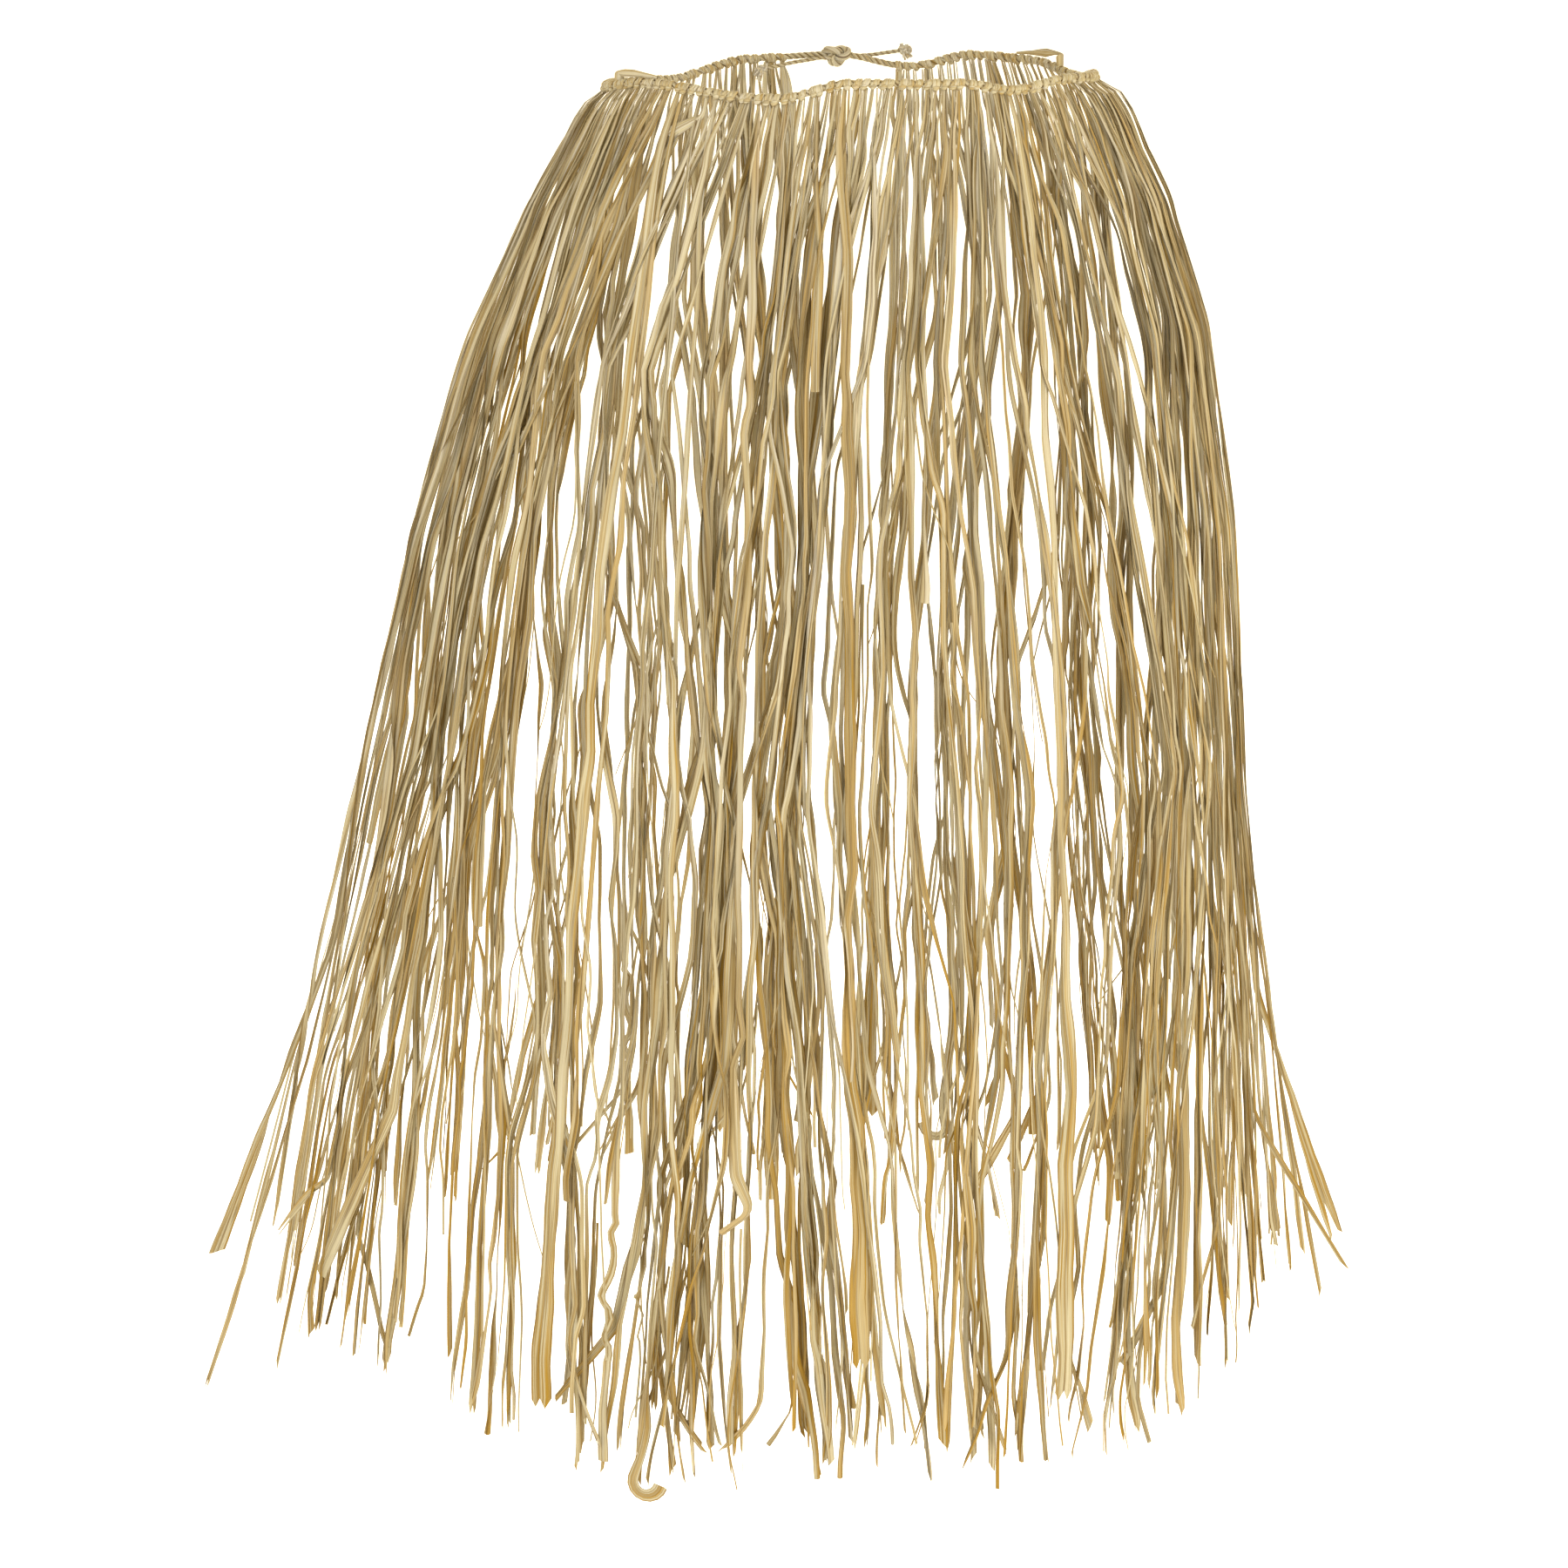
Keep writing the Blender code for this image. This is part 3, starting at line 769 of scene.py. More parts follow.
def leaning(share, drops):
    """How far sideways the strips of one place stand at each drop."""
    degrees = (math.degrees(turn_of(share)) + 180) % 360 - 180
    turns, *leans = np.array(LEANS, float).T
    at_drops = [np.interp(degrees, turns, lean / 10000) for lean in leans]
    return np.interp(drops, (0.0, *LEAN_DROPS), (0.0, *at_drops))


def past(drops, start):
    return np.clip(drops - start, 0, None)


def shoulder(strip):
    """How much of the shoulder a strip has: all at the two sides and none in front or behind."""
    aside = math.sin(turn_of(strip.share))
    return abs(aside) ** 6 * SHOULDER_SIDES[aside > 0] * (1 + 0.5 * strip.layer)


def strip_path(strip, drops):
    """The strip's middle line and the outward direction at each of its rows."""
    side = eased(strip.side, drops, 0.010) + eased(strip.kinks, drops, 0.004)
    side = side + strip.leans * leaning(strip.share, drops) + strip.kick[1] * past(drops, strip.kick[0])
    levels, reach, middle = np.array(LAYERS).T
    out = np.interp(drops, levels, middle) + strip.layer * np.interp(drops, levels, reach)
    out = out + eased(strip.swing, drops, 0.05) * np.interp(drops, (0.02, 0.08), (0.0, 1.0))
    out = out + shoulder(strip) * read(SHOULDER, drops)
    start, away = strip.stray
    out = out + away * (past(drops, start) / (strip.length - start)) ** 1.1
    if strip.curl:
        turned = past(drops, strip.length - CURL_REACH[0]) * math.tau / CURL_PITCH
        turned = turned + 0.9 * np.sin(turned * 0.43)
        part = np.clip(turned / 2, 0, 1) * (0.75 + 0.25 * np.sin(turned * 0.7 + 1))
        part = part * np.clip((strip.length - CURL_REACH[1] - drops) / 0.012, 0, 1)
        side = side + strip.curl * part * np.cos(turned)
        out = out + strip.curl * part * np.sin(turned)
    share = fallen(strip.share, drops) + side / girth_at(drops)
    points = hang_points(share, drops, out)
    return points, outward(turn_of(share))


def bent_path(points, normal, bends):
    """Turns a path's end sideways. A bend is where it starts and stops, from the end, and its angle."""
    moves = np.diff(points, axis=0)
    steps = np.linalg.norm(moves, axis=1)
    to_end = np.cumsum(steps[::-1])[::-1]
    turned = sum(angle * np.clip((start - to_end) / (start - stop), 0, 1) for start, stop, angle in bends)
    across = np.cross(normal[:-1], moves)
    moves = moves * np.cos(turned)[:, None] + across * np.sin(turned)[:, None]
    return np.concatenate([points[:1], points[0] + np.cumsum(moves, axis=0)])


def add_strip(bundle, strip):
    blank_points, faces, uvs = BLANKS[strip.cut]
    rows = STRIP_ROWS
    across, along, side = blank_points.T
    step = np.linspace(0, 1, rows + 1)
    step = step * (1 + strip.crowding - strip.crowding * step) if strip.crowding else step**1.12
    drops_at = strip.start + (strip.length - strip.start) * step
    path, out = strip_path(strip, drops_at)
    if strip.bends:
        path = bent_path(path, out, strip.bends)
    sideways, normal = path_frame(path, out)
    low = np.clip((along * rows).astype(int), 0, rows - 1)
    part = along * rows - low

    def at_rows(values):
        weight = part[:, None] if values.ndim > 1 else part
        return values[low] * (1 - weight) + values[low + 1] * weight

    drops = at_rows(drops_at)
    gather = read(GATHER, drops)
    taper = np.interp(drops / strip.length, (0.86, 1.0), (1.0, strip.taper))
    ripple = 1 + 0.16 * np.sin(drops * 57 + strip.number * 40) * np.sin(drops * 19 + strip.number * 90)
    ripple = ripple + 0.07 * np.sin(drops * 170 + strip.number * 70) * np.sin(drops * 61 + strip.number * 20)
    section = folded_section(
        across,
        np.radians(eased(strip.opening, drops, 0.016)),
        np.radians(eased(strip.twist, drops, 0.014)),
        strip.width * gather * taper * ripple,
        np.full(len(across), strip.split),
        LEAF_THICKNESS,
        side,
    )
    section = section * (strip.mirror, strip.flip)
    points = at_rows(path) + at_rows(sideways) * section[:, :1] + at_rows(normal) * section[:, 1:]
    places = columns(across * strip.width, drops, strip.number)
    wear = edge_and_shade_of(np.abs(across) * 2, drops, strip.layer)
    bundle.add(points, faces, places, strip.tone, wear, uvs, flip=strip.mirror * strip.flip > 0)


def edge_and_shade_of(edge, drops, layer):
    """How near a point is to the strip's edge, and the painted shade where it lies under the others: most
    near the cord and on the inner layers.
    """
    under = np.interp(drops, (0.0, 0.03, 0.25, 0.8), (1.0, 0.75, 0.55, 0.15)) * (1 - layer) / 2
    return columns(edge, under, 0.0)


class Ribbon:
    """A narrow leaf along a path, whose points are placed when its width and twist are known."""

    def __init__(self, rows, ends, path, out):
        blank, self.faces, self.uvs = leaf_blank(rows, 2, ends)
        self.across, self.along, self.depth = blank.T
        self.row = np.round(np.clip(self.along, 0, 1) * rows).astype(int)
        self.path = path[self.row]
        self.sideways, self.normal = [vectors[self.row] for vectors in path_frame(path, out)]

    def add(self, bundle, widths, thick, twist, places, tone, wear, room):
        """places are the leaf's width, the drops of its points and its number."""
        cos, sin = np.cos(twist)[:, None], np.sin(twist)[:, None]
        flat = (self.sideways * cos + self.normal * sin) * (self.across * widths)[:, None]
        raised = (self.normal * cos - self.sideways * sin) * (self.depth * thick / 2)[:, None]
        width, drops, number = places
        places = columns(self.across * width + OFF_FOLD, drops, number)
        points = self.path + flat + raised
        bundle.add(points, self.faces, places, tone, wear, self.uvs, room=room, flip=True)


def add_split(bundle, parent, luck):
    """A narrow ribbon torn from its strip, that leaves it part of the way down."""
    start = luck.uniform(*SPLIT_STARTS)
    length = parent.length * luck.uniform(*SPLIT_LENGTHS)
    width = luck.uniform(*SPLIT_WIDTHS)
    slope, bow = luck.gauss(0, SPLIT_SLOPE), luck.gauss(0, SPLIT_BOW)
    swing = luck.uniform(*SPLIT_SWINGS)
    part = np.linspace(0, 1, SPLIT_ROWS + 1)
    drops = start + (length - start) * part
    path, out = strip_path(parent, np.minimum(drops, parent.length))
    side = slope * past(drops, start) + bow * np.sin(part * 3.1)
    path = path - past(drops, parent.length)[:, None] * np.array([0, 0, 1.0])
    sideways, normal = path_frame(path, out)
    path = path + sideways * side[:, None] + normal * (swing * part)[:, None]
    ribbon = Ribbon(SPLIT_ROWS, (0.0, 0.001, 0.003), path, out)
    along = ribbon.along
    twist = luck.gauss(0, 0.6) + luck.uniform(-3, 3) * along
    widths = width * np.interp(along, (0, 0.08, 1), (0.3, 1, luck.uniform(0.6, 1.2)))
    drops = drops[ribbon.row]
    wear = edge_and_shade_of(np.abs(ribbon.across) * 1.2, drops, parent.layer)
    places = (width, drops, parent.number)
    ribbon.add(bundle, widths, LEAF_THICKNESS, twist, places, parent.tone, wear, 0.4)


def add_fibre(bundle, strip, luck):
    """A hair-fine fibre that has split off a strip and drifts away from it."""
    start = luck.uniform(*FIBRE_STARTS)
    end = min(start + luck.uniform(*FIBRE_LENGTHS), strip.length)
    reach, swing = luck.gauss(0, FIBRE_REACH), luck.uniform(*FIBRE_SWINGS)
    curl, phase = luck.uniform(*FIBRE_CURLS), luck.uniform(0, 6.28)
    part = np.linspace(0, 1, FIBRE_ROWS + 1)
    drops = start + (end - start) * part
    side = eased(strip.side, drops, 0.010) + leaning(strip.share, drops)
    side = side + reach * part**1.6 + curl * part * np.sin(part * 9 + phase)
    out = swing * part**1.3 + strip.layer * read(LAYERS, drops)
    share = fallen(strip.share, drops) + side / girth_at(drops)
    ribbon = Ribbon(FIBRE_ROWS, (0.0, 0.0, 0.0), hang_points(share, drops, out), outward(turn_of(share)))
    along = ribbon.along
    widths = FIBRE_WIDTH * np.interp(along, (0, 0.1, 1.0), (1.0, 1.0, 0.45))
    drops = drops[ribbon.row]
    places = (0.002, drops, luck.random())
    tone = (luck.uniform(-1.4, 0.6), 0.2, 0.9)
    ribbon.add(bundle, widths, widths, 0 * along, places, tone, edge_and_shade_of(0 * along, drops, 1.0), 0.3)


def sheet_size(strips):
    """The flat cut of a bunch: all its strips side by side, the longest one's length, and their area."""
    width = sum(strip.width for strip in strips)
    length = max(strip.length for strip in strips) * 1.03
    area = sum(strip.width * strip.length * 1.03 for strip in strips)
    return (width, length), area


# ---- Materials ----


def from_screen(red, green, blue):
    """A screen colour of 0 to 255 as Blender's linear one."""
    parts = [value / 255 for value in (red, green, blue)]
    return tuple(p / 12.92 if p < 0.04045 else ((p + 0.055) / 1.055) ** 2.4 for p in parts) + (1.0,)


class Socket:
    """A node's output, with arithmetic that adds Math nodes to its material."""

    def __init__(self, graph, output):
        self.graph = graph
        self.output = output

    def maths(self, operation, *values):
        return self.graph.node("ShaderNodeMath", {"operation": operation}, dict(enumerate(values)))

    def __add__(self, other):
        return self.maths("ADD", self, other)

    def __sub__(self, other):
        return self.maths("SUBTRACT", self, other)

    def __rsub__(self, other):
        return self.maths("SUBTRACT", other, self)

    def __mul__(self, other):
        return self.maths("MULTIPLY", self, other)

    __radd__ = __add__
    __rmul__ = __mul__

    def absolute(self):
        return self.maths("ABSOLUTE", self)

    def between(self, low, high):
        """0 below low, 1 above high, and smooth in between."""
        values = {"Value": self, "From Min": low, "From Max": high}
        return self.graph.node("ShaderNodeMapRange", {"interpolation_type": "SMOOTHSTEP"}, values)


class Graph:
    """The nodes of one new material."""

    def __init__(self, name):
        self.material = bpy.data.materials.new(name)
        self.material.use_nodes = True
        self.tree = self.material.node_tree
        self.shader = self.tree.nodes["Principled BSDF"]

    def node(self, kind, settings=None, values=None, output=0):
        made = self.tree.nodes.new(kind)
        for key, value in (settings or {}).items():
            setattr(made, key, value)
        for key, value in (values or {}).items():
            self.feed(made.inputs[key], value)
        return Socket(self, made.outputs[output])

    def feed(self, target, value):
        if isinstance(value, Socket):
            self.tree.links.new(value.output, target)
        else:
            target.default_value = value

    def shade(self, **values):
        for key, value in values.items():
            self.feed(self.shader.inputs[key.replace("_", " ")], value)

    def blend(self, part, first, second, how="MIX"):
        """One colour over another by a part."""
        settings = {"data_type": "RGBA", "blend_type": how, "clamp_factor": True}
        return self.node("ShaderNodeMix", settings, {0: part, 6: first, 7: second}, 2)

    def attribute(self, name):
        return self.node("ShaderNodeAttribute", {"attribute_name": name}, output="Vector")

    def parts(self, vector):
        return [self.node("ShaderNodeSeparateXYZ", None, {0: vector}, axis) for axis in "XYZ"]

    def noise(self, vector, scale, detail=2.0):
        """Soft noise from 0 to 1 about a half, stretched by the three numbers of scale."""
        place = self.node("ShaderNodeVectorMath", {"operation": "MULTIPLY"}, {0: vector, 1: scale})
        values = {"Vector": place, "Scale": 1.0, "Detail": detail, "Roughness": 0.55}
        return self.node("ShaderNodeTexNoise", None, values, "Fac")


# The darkest colour is painted shade for creases, folds and strips that lie under others; it also darkens
# edges and fibres.
DEEP_SHADE = from_screen(92, 63, 4)
SHADE = from_screen(158, 124, 40)
STRAW = from_screen(189, 180, 148)
PALE = from_screen(197, 192, 177)
GOLDEN = from_screen(178, 146, 76)
OLIVE = from_screen(148, 138, 82)
BUMP_STRENGTH = 0.55
BUMP_HEIGHT = 0.00035
LEAF_SHEEN = 0.20
# slot: how pale, how golden and how olive its leaves lean
LEANINGS = {
    "straw": (0.00, 0.00, 0.00),
    "golden_straw": (-0.03, 0.06, 0.00),
    "pale_straw": (0.04, -0.03, 0.00),
    "olive_straw": (-0.02, 0.00, 0.06),
    "twisted_cord": (0.08, -0.05, 0.02),
}


def raffia(name, leanings):
    """Dry split leaf: lengthwise ribs and fibres, no two strips of one tone, and painted shade in the fold,
    creases and pleats, under other strips and towards the hem.
    """
    pale, golden, olive = leanings
    graph = Graph(name)
    place = graph.attribute("leaf_place")
    across, along, _ = graph.parts(place)
    lightness, gold, green = graph.parts(graph.attribute("leaf_tone"))
    # The edge number darkens the strips' edges, the grooves of the ropes and the sides of the hitches; the
    # second number is painted shade.
    edge, under, _ = graph.parts(graph.attribute("leaf_edge_and_shade"))

    fibres = graph.noise(place, (5200, 34, 611), 3.0)
    ribs = graph.noise(place, (1500, 9, 347), 2.0)
    folds = graph.noise(place, (560, 6, 173), 1.0)
    patches = graph.noise(place, (95, 12, 97), 2.0)
    # Painted shade: dark lines in the creases between ribs and in the pleats between facets, facets painted
    # lighter and darker as if turned to and from the light, and a dark line along the fold.
    rib_crease_shade = 1 - (ribs - 0.5).absolute().between(0.0, 0.05)
    facet_shading = folds.between(0.465, 0.535)
    pleat_shade = 1 - (folds - 0.5).absolute().between(0.004, 0.045)
    fold_shade = 1 - across.absolute().between(0.0, 0.0011)

    # The lightness mixes the strip's own tone and patches with facets painted lit and shaded.
    light = 0.65 + pale + lightness * 0.16 + (patches - 0.5) * 0.6 + (facet_shading - 0.5) * 0.30
    # Painted shade: less light under other strips, and darker towards the hem to offset the light from the
    # glowing floor.
    light = light + (ribs - 0.5) * 0.8 - along * 0.34 - under * 0.16
    # The ramp from the shaded to the pale straw follows that lightness, so it carries painted shade and lit
    # facets as well as the strip's own tone.
    colour = graph.blend(light.between(0.0, 0.62), SHADE, STRAW)
    colour = graph.blend(light.between(0.50, 1.15), colour, PALE)
    colour = graph.blend((patches + gold * 0.36 + golden).between(0.72, 1.02) * 0.55, colour, GOLDEN)
    colour = graph.blend((folds * 0.6 + green * 0.52 + olive).between(0.76, 1.06) * 0.30, colour, OLIVE)
    # Painted shade in the rib creases, pleats and fold and under other strips, with the fibres' own dark
    # marks, and edges darker both as leaf and as painted shade between strips.
    dark = rib_crease_shade * 0.22 + pleat_shade * 0.38 + fold_shade * 0.32 + fibres.between(0.56, 0.78) * 0.14
    dark = dark + edge.between(0.74, 1.00) * 0.46 + under * 0.13
    colour = graph.blend(dark, colour, DEEP_SHADE)

    height = ribs * 0.5 + fibres * 0.28 - rib_crease_shade * 0.22 - pleat_shade * 0.4
    relief = {"Strength": BUMP_STRENGTH, "Distance": BUMP_HEIGHT, "Height": height}
    bump = graph.node("ShaderNodeBump", None, relief, "Normal")
    graph.shade(Base_Color=colour, Roughness=0.50 + fibres * 0.22, Normal=bump)
    graph.shader.inputs["Specular IOR Level"].default_value = LEAF_SHEEN
    return graph.material


def white_floor():
    graph = Graph("white_floor")
    ripple = graph.noise(graph.node("ShaderNodeTexCoord", None, None, "Object"), (0.7, 0.7, 0.7))
    colour = graph.blend(ripple, (FLOOR_WHITE,) * 3 + (1.0,), (FLOOR_WHITE + 0.02,) * 3 + (1.0,))
    graph.shade(Base_Color=colour, Roughness=0.8)
    graph.shader.inputs["Emission Color"].default_value = (1.0, 1.0, 1.0, 1.0)
    graph.shader.inputs["Emission Strength"].default_value = FLOOR_GLOW
    return graph.material


# ---- The stage ----


def camera():
    data = bpy.data.cameras.new("camera")
    data.lens = CAMERA_LENS
    data.sensor_width = 36.0
    bpy.context.scene.camera = added("camera", data, CAMERA_PLACE)
    bpy.context.scene.camera.rotation_euler = (CAMERA_PITCH, 0, 0)


def studio():
    for name, place, target, size, power, colour in SOFTBOXES:
        data = bpy.data.lights.new(name, "AREA")
        data.shape = "DISK"
        data.size = size
        data.energy = power
        data.color = colour
        heading = Vector(target) - Vector(place)
        added(name, data, place).rotation_euler = heading.to_track_quat("-Z", "Y").to_euler()
    world = bpy.data.worlds.new("white_room")
    world.use_nodes = True
    tree = world.node_tree
    sky = tree.nodes["Background"]
    seen = tree.nodes.new("ShaderNodeLightPath")
    colour = tree.nodes.new("ShaderNodeMix")
    colour.data_type = "RGBA"
    colour.inputs[6].default_value = SKY_LIGHT
    colour.inputs[7].default_value = SKY_SEEN
    tree.links.new(seen.outputs["Is Camera Ray"], colour.inputs[0])
    tree.links.new(colour.outputs[2], sky.inputs["Color"])
    bpy.context.scene.world = world
    bpy.context.scene.view_settings.view_transform = "Standard"


def floor():
    bpy.ops.mesh.primitive_circle_add(
        vertices=64, radius=FLOOR_RADIUS, fill_type="NGON", location=(0, 0, FLOOR_DEPTH)
    )
    obj = bpy.context.object
    obj.name = "floor"
    bpy.ops.object.transform_apply(location=True, rotation=True, scale=True)
    obj.data.materials.append(white_floor())


# ---- Ropes and knots ----

ROUND_FACE = ((0, 0), (1, 0), (1, 1), (0, 1))


def even_route(points, step, closed=False):
    """A route with a point every step or so, read by straight lines."""
    points = np.asarray(points, float)
    if closed:
        points = np.concatenate([points, points[:1]])
    sides = np.linalg.norm(np.diff(points, axis=0), axis=1)
    places = np.concatenate([[0], np.cumsum(sides)])
    count = max(4, round(places[-1] / step))
    wanted = np.linspace(0, places[-1], count + 1)
    route = columns(*[np.interp(wanted, places, axis) for axis in points.T])
    return route[:-1] if closed else route


def smooth_route(points, step):
    """Points every step or so along a Catmull-Rom curve through the given ones."""
    points = np.asarray(points, float)
    ends = np.concatenate([[2 * points[0] - points[1]], points, [2 * points[-1] - points[-2]]])
    route = []
    for before, start, end, after in zip(ends, ends[1:], ends[2:], ends[3:]):
        count = max(2, round(np.linalg.norm(end - start) / step))
        t = (np.arange(count) / count)[:, None]
        part = 2 * start + (end - before) * t + (2 * before - 5 * start + 4 * end - after) * t**2
        route.append(0.5 * (part + (3 * start - before - 3 * end + after) * t**3))
    return np.concatenate([*route, points[-1:]])


def carried_frames(route, closed):
    """Two directions across a route at each point, carried along it without turning."""
    if closed:
        forward = unit(np.roll(route, -1, axis=0) - np.roll(route, 1, axis=0))
    else:
        forward = unit(np.gradient(route, axis=0))
    firsts = [unit(np.cross(forward[0], (0, 0, 1.0)))]
    for direction in forward[1:]:
        firsts.append(unit(firsts[-1] - direction * (firsts[-1] @ direction)))
    return forward, np.array(firsts), np.cross(forward, firsts)


def rope_faces(count, around, closed):
    """The faces of a rope's rings, with an end face on each end of an open one, and their map corners."""
    rows = count if closed else count - 1
    row, place = np.indices((rows, around))
    low = row * around + place
    high = (row + 1) % count * around + place
    faces = list(columns(low, np.roll(low, -1, 1), np.roll(high, -1, 1), high).reshape(-1, 4))
    corners = [columns((place + across) / around, (row + along) / rows) for across, along in ROUND_FACE]
    uvs = list(np.stack(corners, axis=-2).reshape(-1, 4, 2))
    ring = np.arange(around)
    for end, left in () if closed else ((ring[::-1], 0.02), (ring + (count - 1) * around, 0.06)):
        spin = end % around * math.tau / around
        faces.append(end)
        uvs.append(columns(np.cos(spin), np.sin(spin)) * (0.012, 0.0015) + (left, 1.003))
    return faces, uvs


def add_rope(bundle, route, radius, plies, pitch, tone, closed=False, sides=6, groove_shade=1.0):
    """A twisted cord along a route: its plies are lobes of a section that turns once in each pitch."""
    forward, first, second = carried_frames(route, closed)
    count, around = len(route), plies * sides
    steps = np.linalg.norm(np.diff(route, axis=0, append=route[:1] if closed else route[-1:]), axis=1)
    length = np.concatenate([[0], np.cumsum(steps)[:-1]])
    turns = length / pitch
    if closed:
        whole = length[-1] + steps[-1]
        end = first[-1] - forward[0] * (first[-1] @ forward[0])
        slip = math.atan2(end @ second[0], end @ first[0])
        turns = (round(whole / pitch) - slip / math.tau) * length / whole
    angle = np.arange(around) * math.tau / around
    reach = radius * (0.66 + 0.34 * np.abs(np.cos(plies * angle / 2)) ** 0.55)
    turned = angle + (math.tau * turns)[:, None]
    points = route[:, None] + first[:, None] * (reach * np.cos(turned))[..., None]
    points = (points + second[:, None] * (reach * np.sin(turned))[..., None]).reshape(-1, 3)
    offset = ((angle * plies / math.tau) % 1 - 0.5) * radius * 1.6 + OFF_FOLD
    ply = np.arange(around) // sides * 0.31
    places = columns(offset, length[:, None], ply).reshape(-1, 3)
    # Painted shade: darker in the grooves between the plies and a little over all the cord, as strong as the
    # call asks.
    wear = np.tile(columns(np.abs(np.sin(plies * angle / 2)) * 1.1, 0.2, 0.0) * groove_shade, (count, 1))
    faces, uvs = rope_faces(count, around, closed)
    bundle.add(points, faces, places, tone, wear, uvs)


def overhand(middle, half, steps=150):
    """The closed route of an overhand knot that fills a box of the given half sizes about a middle."""
    t = np.linspace(0, math.tau, steps, endpoint=False)
    shape = columns(np.sin(t) + 2 * np.sin(2 * t), -2.4 * np.sin(3 * t), np.cos(t) - 2 * np.cos(2 * t))
    low, high = shape.min(axis=0), shape.max(axis=0)
    return np.asarray(middle) + (shape - (low + high) / 2) / ((high - low) / 2) * half


# ---- The pieces ----


def hitch_blank():
    """One hitch about a cord along X at its own size: two wraps side by side and the bead that holds them."""
    shapes = []
    for side in (-1, 1):
        middle = (side * WRAP_MIDDLE, 0, 0)
        bpy.ops.mesh.primitive_torus_add(
            major_segments=10,
            minor_segments=6,
            major_radius=WRAP_RADIUS,
            minor_radius=WRAP_THICKNESS,
            location=middle,
            rotation=(0, math.pi / 2, 0),
        )
        shapes.append(shaped_blank((WRAP_BROADER, 1.0, 1.0), middle, (0, 0, 0)))
    bpy.ops.mesh.primitive_uv_sphere_add(segments=8, ring_count=6, radius=1.0, rotation=(0, math.pi / 2, 0))
    shapes.append(shaped_blank(BEAD_REACH, (0, 0, 0), BEAD_MIDDLE))
    return shapes


def shaped_blank(scale, middle, move):
    """Shapes the primitive just added. Returns its points, faces and map corners in a set order."""
    obj = bpy.context.object
    bpy.ops.object.transform_apply(location=True, rotation=True, scale=True)
    bpy.ops.object.mode_set(mode="EDIT")
    bpy.ops.mesh.select_all(action="SELECT")
    bpy.ops.transform.resize(value=scale, center_override=middle)
    bpy.ops.transform.translate(value=move)
    bpy.ops.object.mode_set(mode="OBJECT")
    mesh = obj.data
    points = np.array([vert.co for vert in mesh.vertices])
    rings = []
    for face in mesh.polygons:
        ring = [(mesh.loops[i].vertex_index, tuple(mesh.uv_layers[0].data[i].uv)) for i in face.loop_indices]
        first = ring.index(min(ring))
        rings.append(ring[first:] + ring[:first])
    rings.sort()
    bpy.data.objects.remove(obj)
    faces = [[vertex for vertex, _ in ring] for ring in rings]
    return points, faces, [np.array([uv for _, uv in ring]) for ring in rings]


def add_hitches(bundle, blanks, bunch, luck):
    """The bunch's hitches on the cord: each its own size, slant and roll."""
    steps = 0
    for index in range(HITCHES_EACH):
        hitch = bunch * HITCHES_EACH + index
        share = hitch_share(hitch)
        centre, behind, before = ring_point(share + np.array([0, -0.002, 0.002]))
        ahead = unit(before - behind)
        out = outward(turn_of(share))
        up = np.cross(out, ahead)
        up = up if up[2] > 0 else -up
        slant, roll = luck.gauss(*HITCH_SLANT), luck.gauss(0, HITCH_ROLL)
        size = luck.uniform(*HITCH_SIZES)
        tone = (luck.gauss(-0.15, 0.35), luck.uniform(0, 0.6), luck.random())
        for part, (points, faces, uvs) in enumerate(blanks):
            along, front, above = points.T * size
            wrap = np.arctan2(above, front)
            edge = np.abs(along) / HITCH_EDGE
            narrow = 0.80 + 0.24 * np.clip(np.cos(wrap + 0.15), 0, 1)
            along = along * narrow + above * slant * (1.0 if part < 2 else 0.6)
            reach = np.hypot(front, above) * (1.04 - 0.12 * np.clip(edge, 0, 1.1) ** 2)
            front, above = reach * np.cos(wrap + roll), reach * np.sin(wrap + roll)
            placed = centre + ahead * along[:, None] + out * front[:, None] + up * above[:, None]
            across, length = (along, wrap * 0.003) if part < 2 else (above, along)
            places = columns(across + OFF_FOLD, length, (hitch * 0.37 + part * 0.19) % 1)
            cell = (part / 3 + 0.01, index / HITCHES_EACH + 0.004, 0.31, 0.19, steps)
            handed = np.dot(np.cross(ahead, out), up) < 0
            # Painted shade: darker towards each hitch's sides, where it meets its neighbours, and on its
            # underside, with a little over all of it.
            wear = columns(edge, 0.25 + 0.35 * (wrap < -0.9), 0.0)
            bundle.add(placed, faces, places, tone, wear, uvs, cell=cell, flip=handed)
            steps += 1


def raffia_bunches(materials):
    strips = plan_strips()
    blanks = hitch_blank()
    luck = random.Random(5)
    slots = ("straw", "golden_straw", "pale_straw", "olive_straw")
    for bunch in range(BUNCHES):
        own = [strip for strip in strips if strip.hitch // HITCHES_EACH == bunch]
        bundle = Bundle()
        for strip in own:
            add_strip(bundle, strip)
        whole = [strip for strip in own if strip.length > WHOLE_LENGTH]
        for strip in luck.sample(whole, SPLITS_EACH):
            add_split(bundle, strip, luck)
        for strip in luck.sample([strip for strip in whole if strip.leans], FIBRES_EACH):
            add_fibre(bundle, strip, luck)
        add_hitches(bundle, blanks, bunch, luck)
        material = materials[slots[bunch % len(slots)]]
        obj = bundle.build(f"raffia_strips_{bunch + 1:02d}", material, f"raffia_bunch_{bunch + 1:02d}")
        flat, area = sheet_size(own)


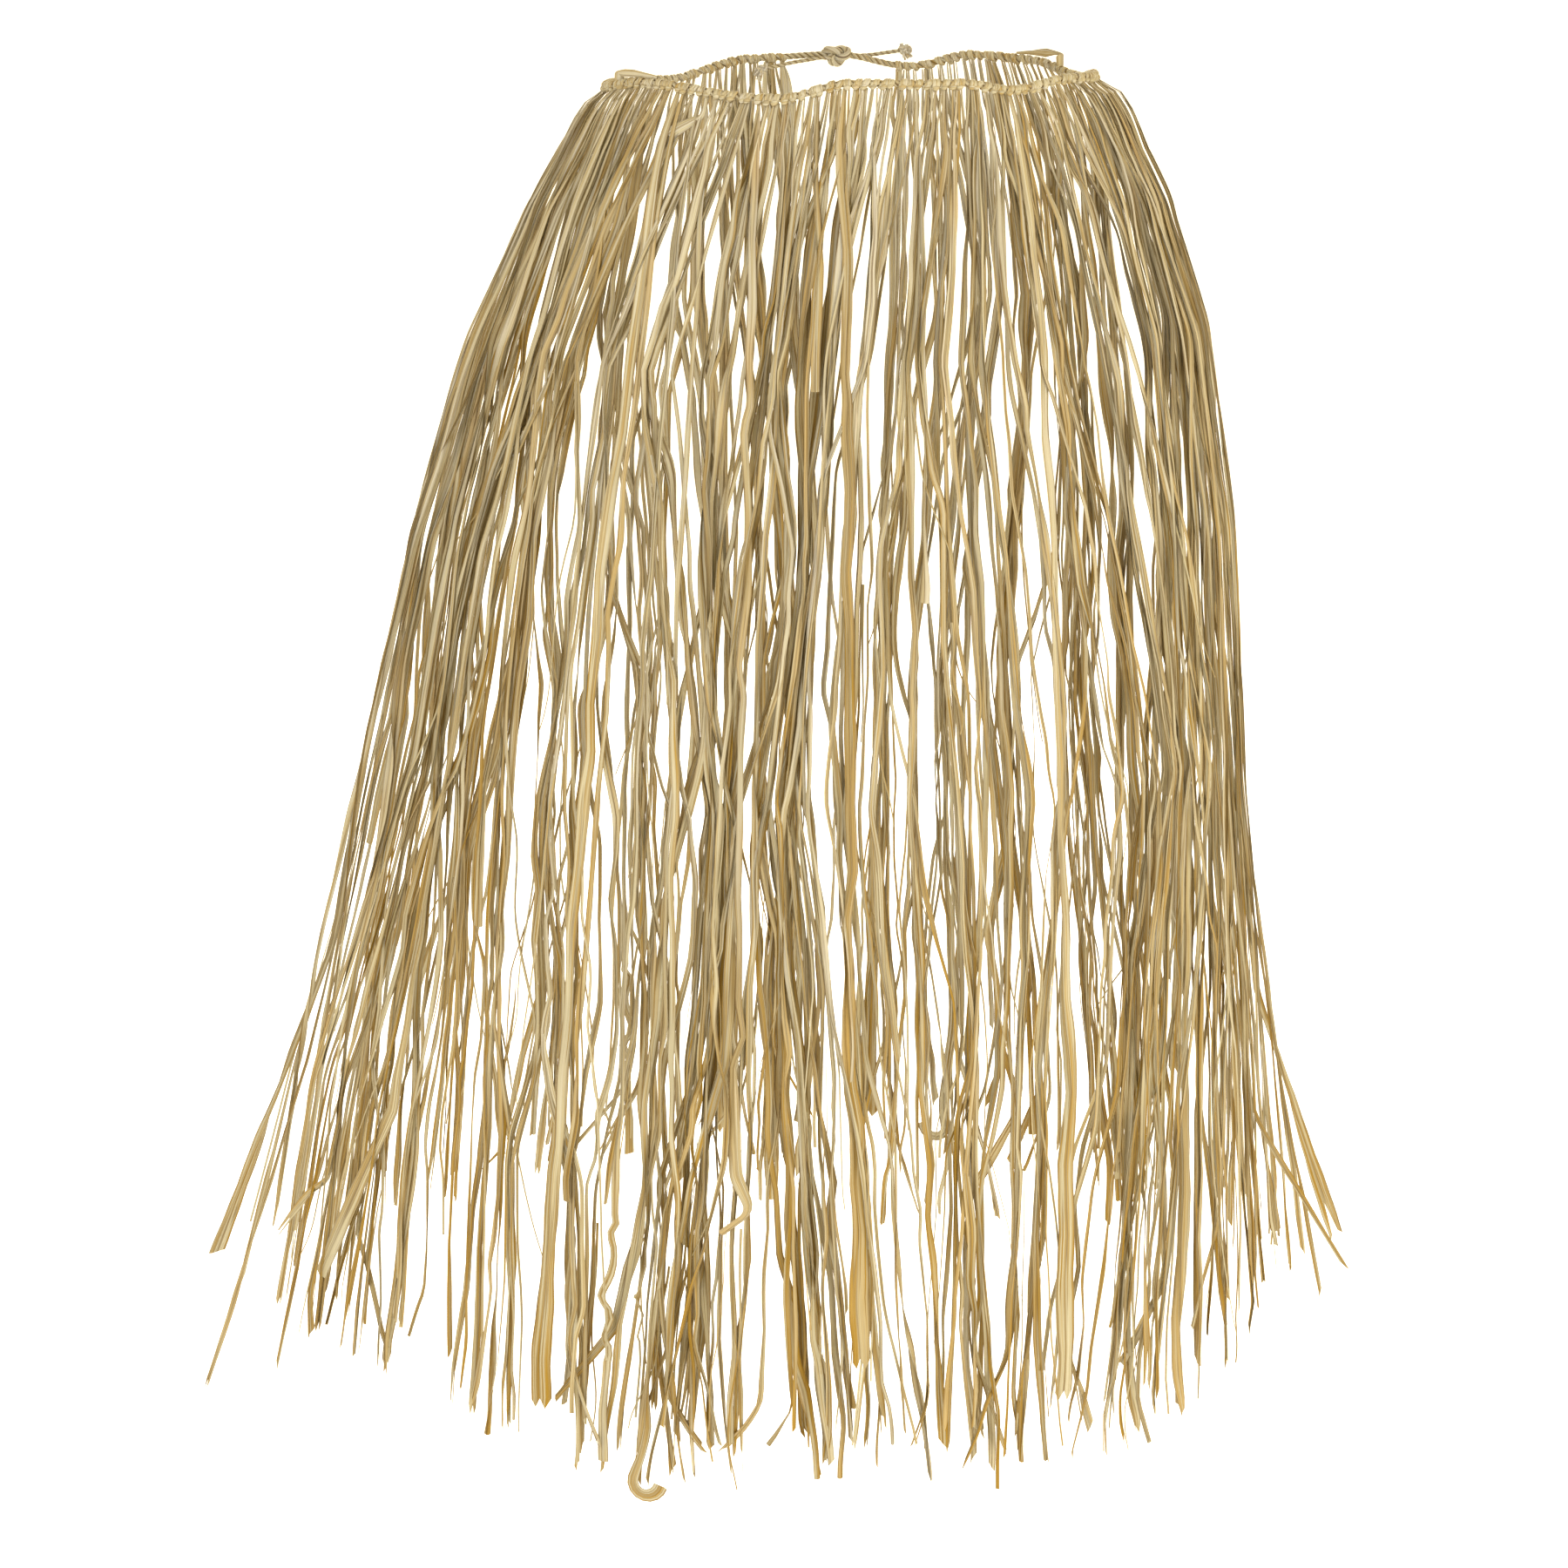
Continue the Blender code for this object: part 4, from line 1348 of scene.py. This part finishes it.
def waist_cord(material):
    end = (KNOT_HALF - CORD_INTO_KNOT) / PERIMETER
    shares = np.linspace(KNOT_SHARE + end, KNOT_SHARE + 1 - end, 1200)
    bundle = Bundle()
    add_rope(bundle, even_route(ring_point(shares), CORD_STEP), CORD_RADIUS, 3, CORD_PITCH, (0.1, 0.4, 0.3))
    bundle.build("waist_cord_twisted", material, "waist_cord")


def waist_knot(material):
    bundle = Bundle()
    route = even_route(overhand(KNOT_DRAWN, KNOT_REACH, 400), ROPE_STEP, closed=True)
    add_rope(bundle, route, KNOT_ROPE, 3, KNOT_PITCH, (1.1, 0.7, 0.1), closed=True, groove_shade=0.9)
    bundle.build("waist_knot_drawn", material, "waist_knot")


def add_fray(bundle, middle, forward, luck):
    """A short frayed strand that sticks out of an end knot."""
    heading = unit(forward + np.array([luck.gauss(0, 0.35), luck.gauss(0, 0.3), luck.gauss(0, 0.70)]))
    length, width = luck.uniform(*FRAY_LENGTHS), luck.uniform(*FRAY_WIDTHS)
    part = np.linspace(0, 1, FRAY_ROWS + 1)[:, None]
    path = middle + heading * length * part + np.array([0, 0, -0.3]) * length * part**2
    ribbon = Ribbon(FRAY_ROWS, (0.0, 0.02, 0.05), path, np.tile((0.1, 1.0, 0.2), (FRAY_ROWS + 1, 1)))
    still = 0 * ribbon.along
    places = (width, ribbon.along * length, luck.random())
    tone = (luck.uniform(1.6, 2.8), luck.uniform(0.5, 1.3), 0.0)
    ribbon.add(bundle, width, LEAF_THICKNESS, still, places, tone, columns(still, still, still), 0.15)


def tie_ends(material):
    luck = random.Random(17)
    for side, points in TIE_ENDS.items():
        route = smooth_route(points, TIE_STEP)
        forward = unit(route[-1] - route[-2])
        knot = Bundle()
        middle = route[-1] + forward * (END_KNOT_RADIUS + CLEARANCE)
        curl = even_route(overhand(middle, STOPPER_REACH, 200), STOPPER_STEP, closed=True)
        add_rope(knot, curl, STOPPER_ROPE, 2, TIE_PITCH, (1.9, 0.9, 0.0), closed=True, groove_shade=0.2)
        for _ in range(FRAYS):
            add_fray(knot, middle, forward, luck)
        end_knot = knot.build(f"tie_stopper_{side}", material, f"tie_knot_{side}")

        whole = np.concatenate([route, [route[-1] + forward * TIE_INTO_KNOT]])
        tie = Bundle()
        add_rope(tie, even_route(whole, ROPE_STEP), TIE_RADIUS, 2, TIE_PITCH, (0.3, 0.6, 0.2), sides=8)
        tie.build(f"tie_cord_{side}", material, f"tie_end_{side}")


def on_band(rows):
    """The point of each (turn, outward, lift) row."""
    turn = np.radians(rows[:, 0])
    points = ellipse(turn, RING_HALF_WIDTH, RING_HALF_DEPTH) + outward(turn) * rows[:, 1:2]
    points[:, 2] += ring_lift(turn) + BAND_TOP + CLEARANCE + rows[:, 2]
    return points


def loose_edges(rungs):
    """The lower and upper edge of a leaf that stands on the band, and its length."""
    moves = np.linalg.norm(np.diff(on_band(rungs.mean(axis=1)), axis=0), axis=1)
    places = np.concatenate([[0], np.cumsum(moves)])
    at = np.linspace(0, places[-1], LOOSE_ROWS + 1)

    def edge(number):
        axes = [eased(columns(places, axis), at, LOOSE_EASE) for axis in rungs[:, number].T]
        return on_band(columns(*axes))

    return edge(0), edge(1), float(places[-1])


def loose_strips(material):
    """Flat leaves folded lengthwise that stand up from the band of hitches, one at each side."""
    for side, rungs in LOOSE_STRIPS.items():
        low, high, length = loose_edges(np.array(rungs))
        height = np.linalg.norm(high - low, axis=1)
        normal = unit(np.cross(np.gradient((low + high) / 2, axis=0), high - low))
        blank_points, faces, uvs = leaf_blank(LOOSE_ROWS, 4, CUTS["square"])
        across, along, depth = blank_points.T
        row = np.clip(np.round(along * LOOSE_ROWS).astype(int), 0, LOOSE_ROWS)
        off = 2 * np.abs(across)[:, None]
        layer = np.sign(across)[:, None] * LOOSE_FOLD * np.minimum(off * 2, 1) / 2
        wavy = 0.0003 * np.sin(row * 0.37)[:, None] * off
        points = high[row] * (1 - off) + low[row] * off + normal[row] * (layer + wavy)
        up = unit(high - low)[row] * (across == 0)[:, None]
        points = points + (normal[row] * np.sign(across)[:, None] + up) * depth[:, None] * LEAF_THICKNESS / 2
        width = 2 * float(height.max())
        places = columns(across * width, along * length, 0.4)
        wear = columns(np.abs(across) * 2, 0.0, 0.0)
        bundle = Bundle()
        bundle.add(points, faces, places, (-0.5, 0.3, 0.2), wear, uvs, flip=True)
        obj = bundle.build(f"loose_leaf_{side}", material, f"loose_strip_{side}")
        area = 2 * float(height.mean()) * length


def main():
    clear_lights()
    camera()
    materials = {slot: raffia(slot + "_leaf", leanings) for slot, leanings in LEANINGS.items()}
    tie_ends(materials["twisted_cord"])
    waist_cord(materials["twisted_cord"])
    waist_knot(materials["twisted_cord"])
    loose_strips(materials["straw"])
    raffia_bunches(materials)
    studio()
    floor()


main()
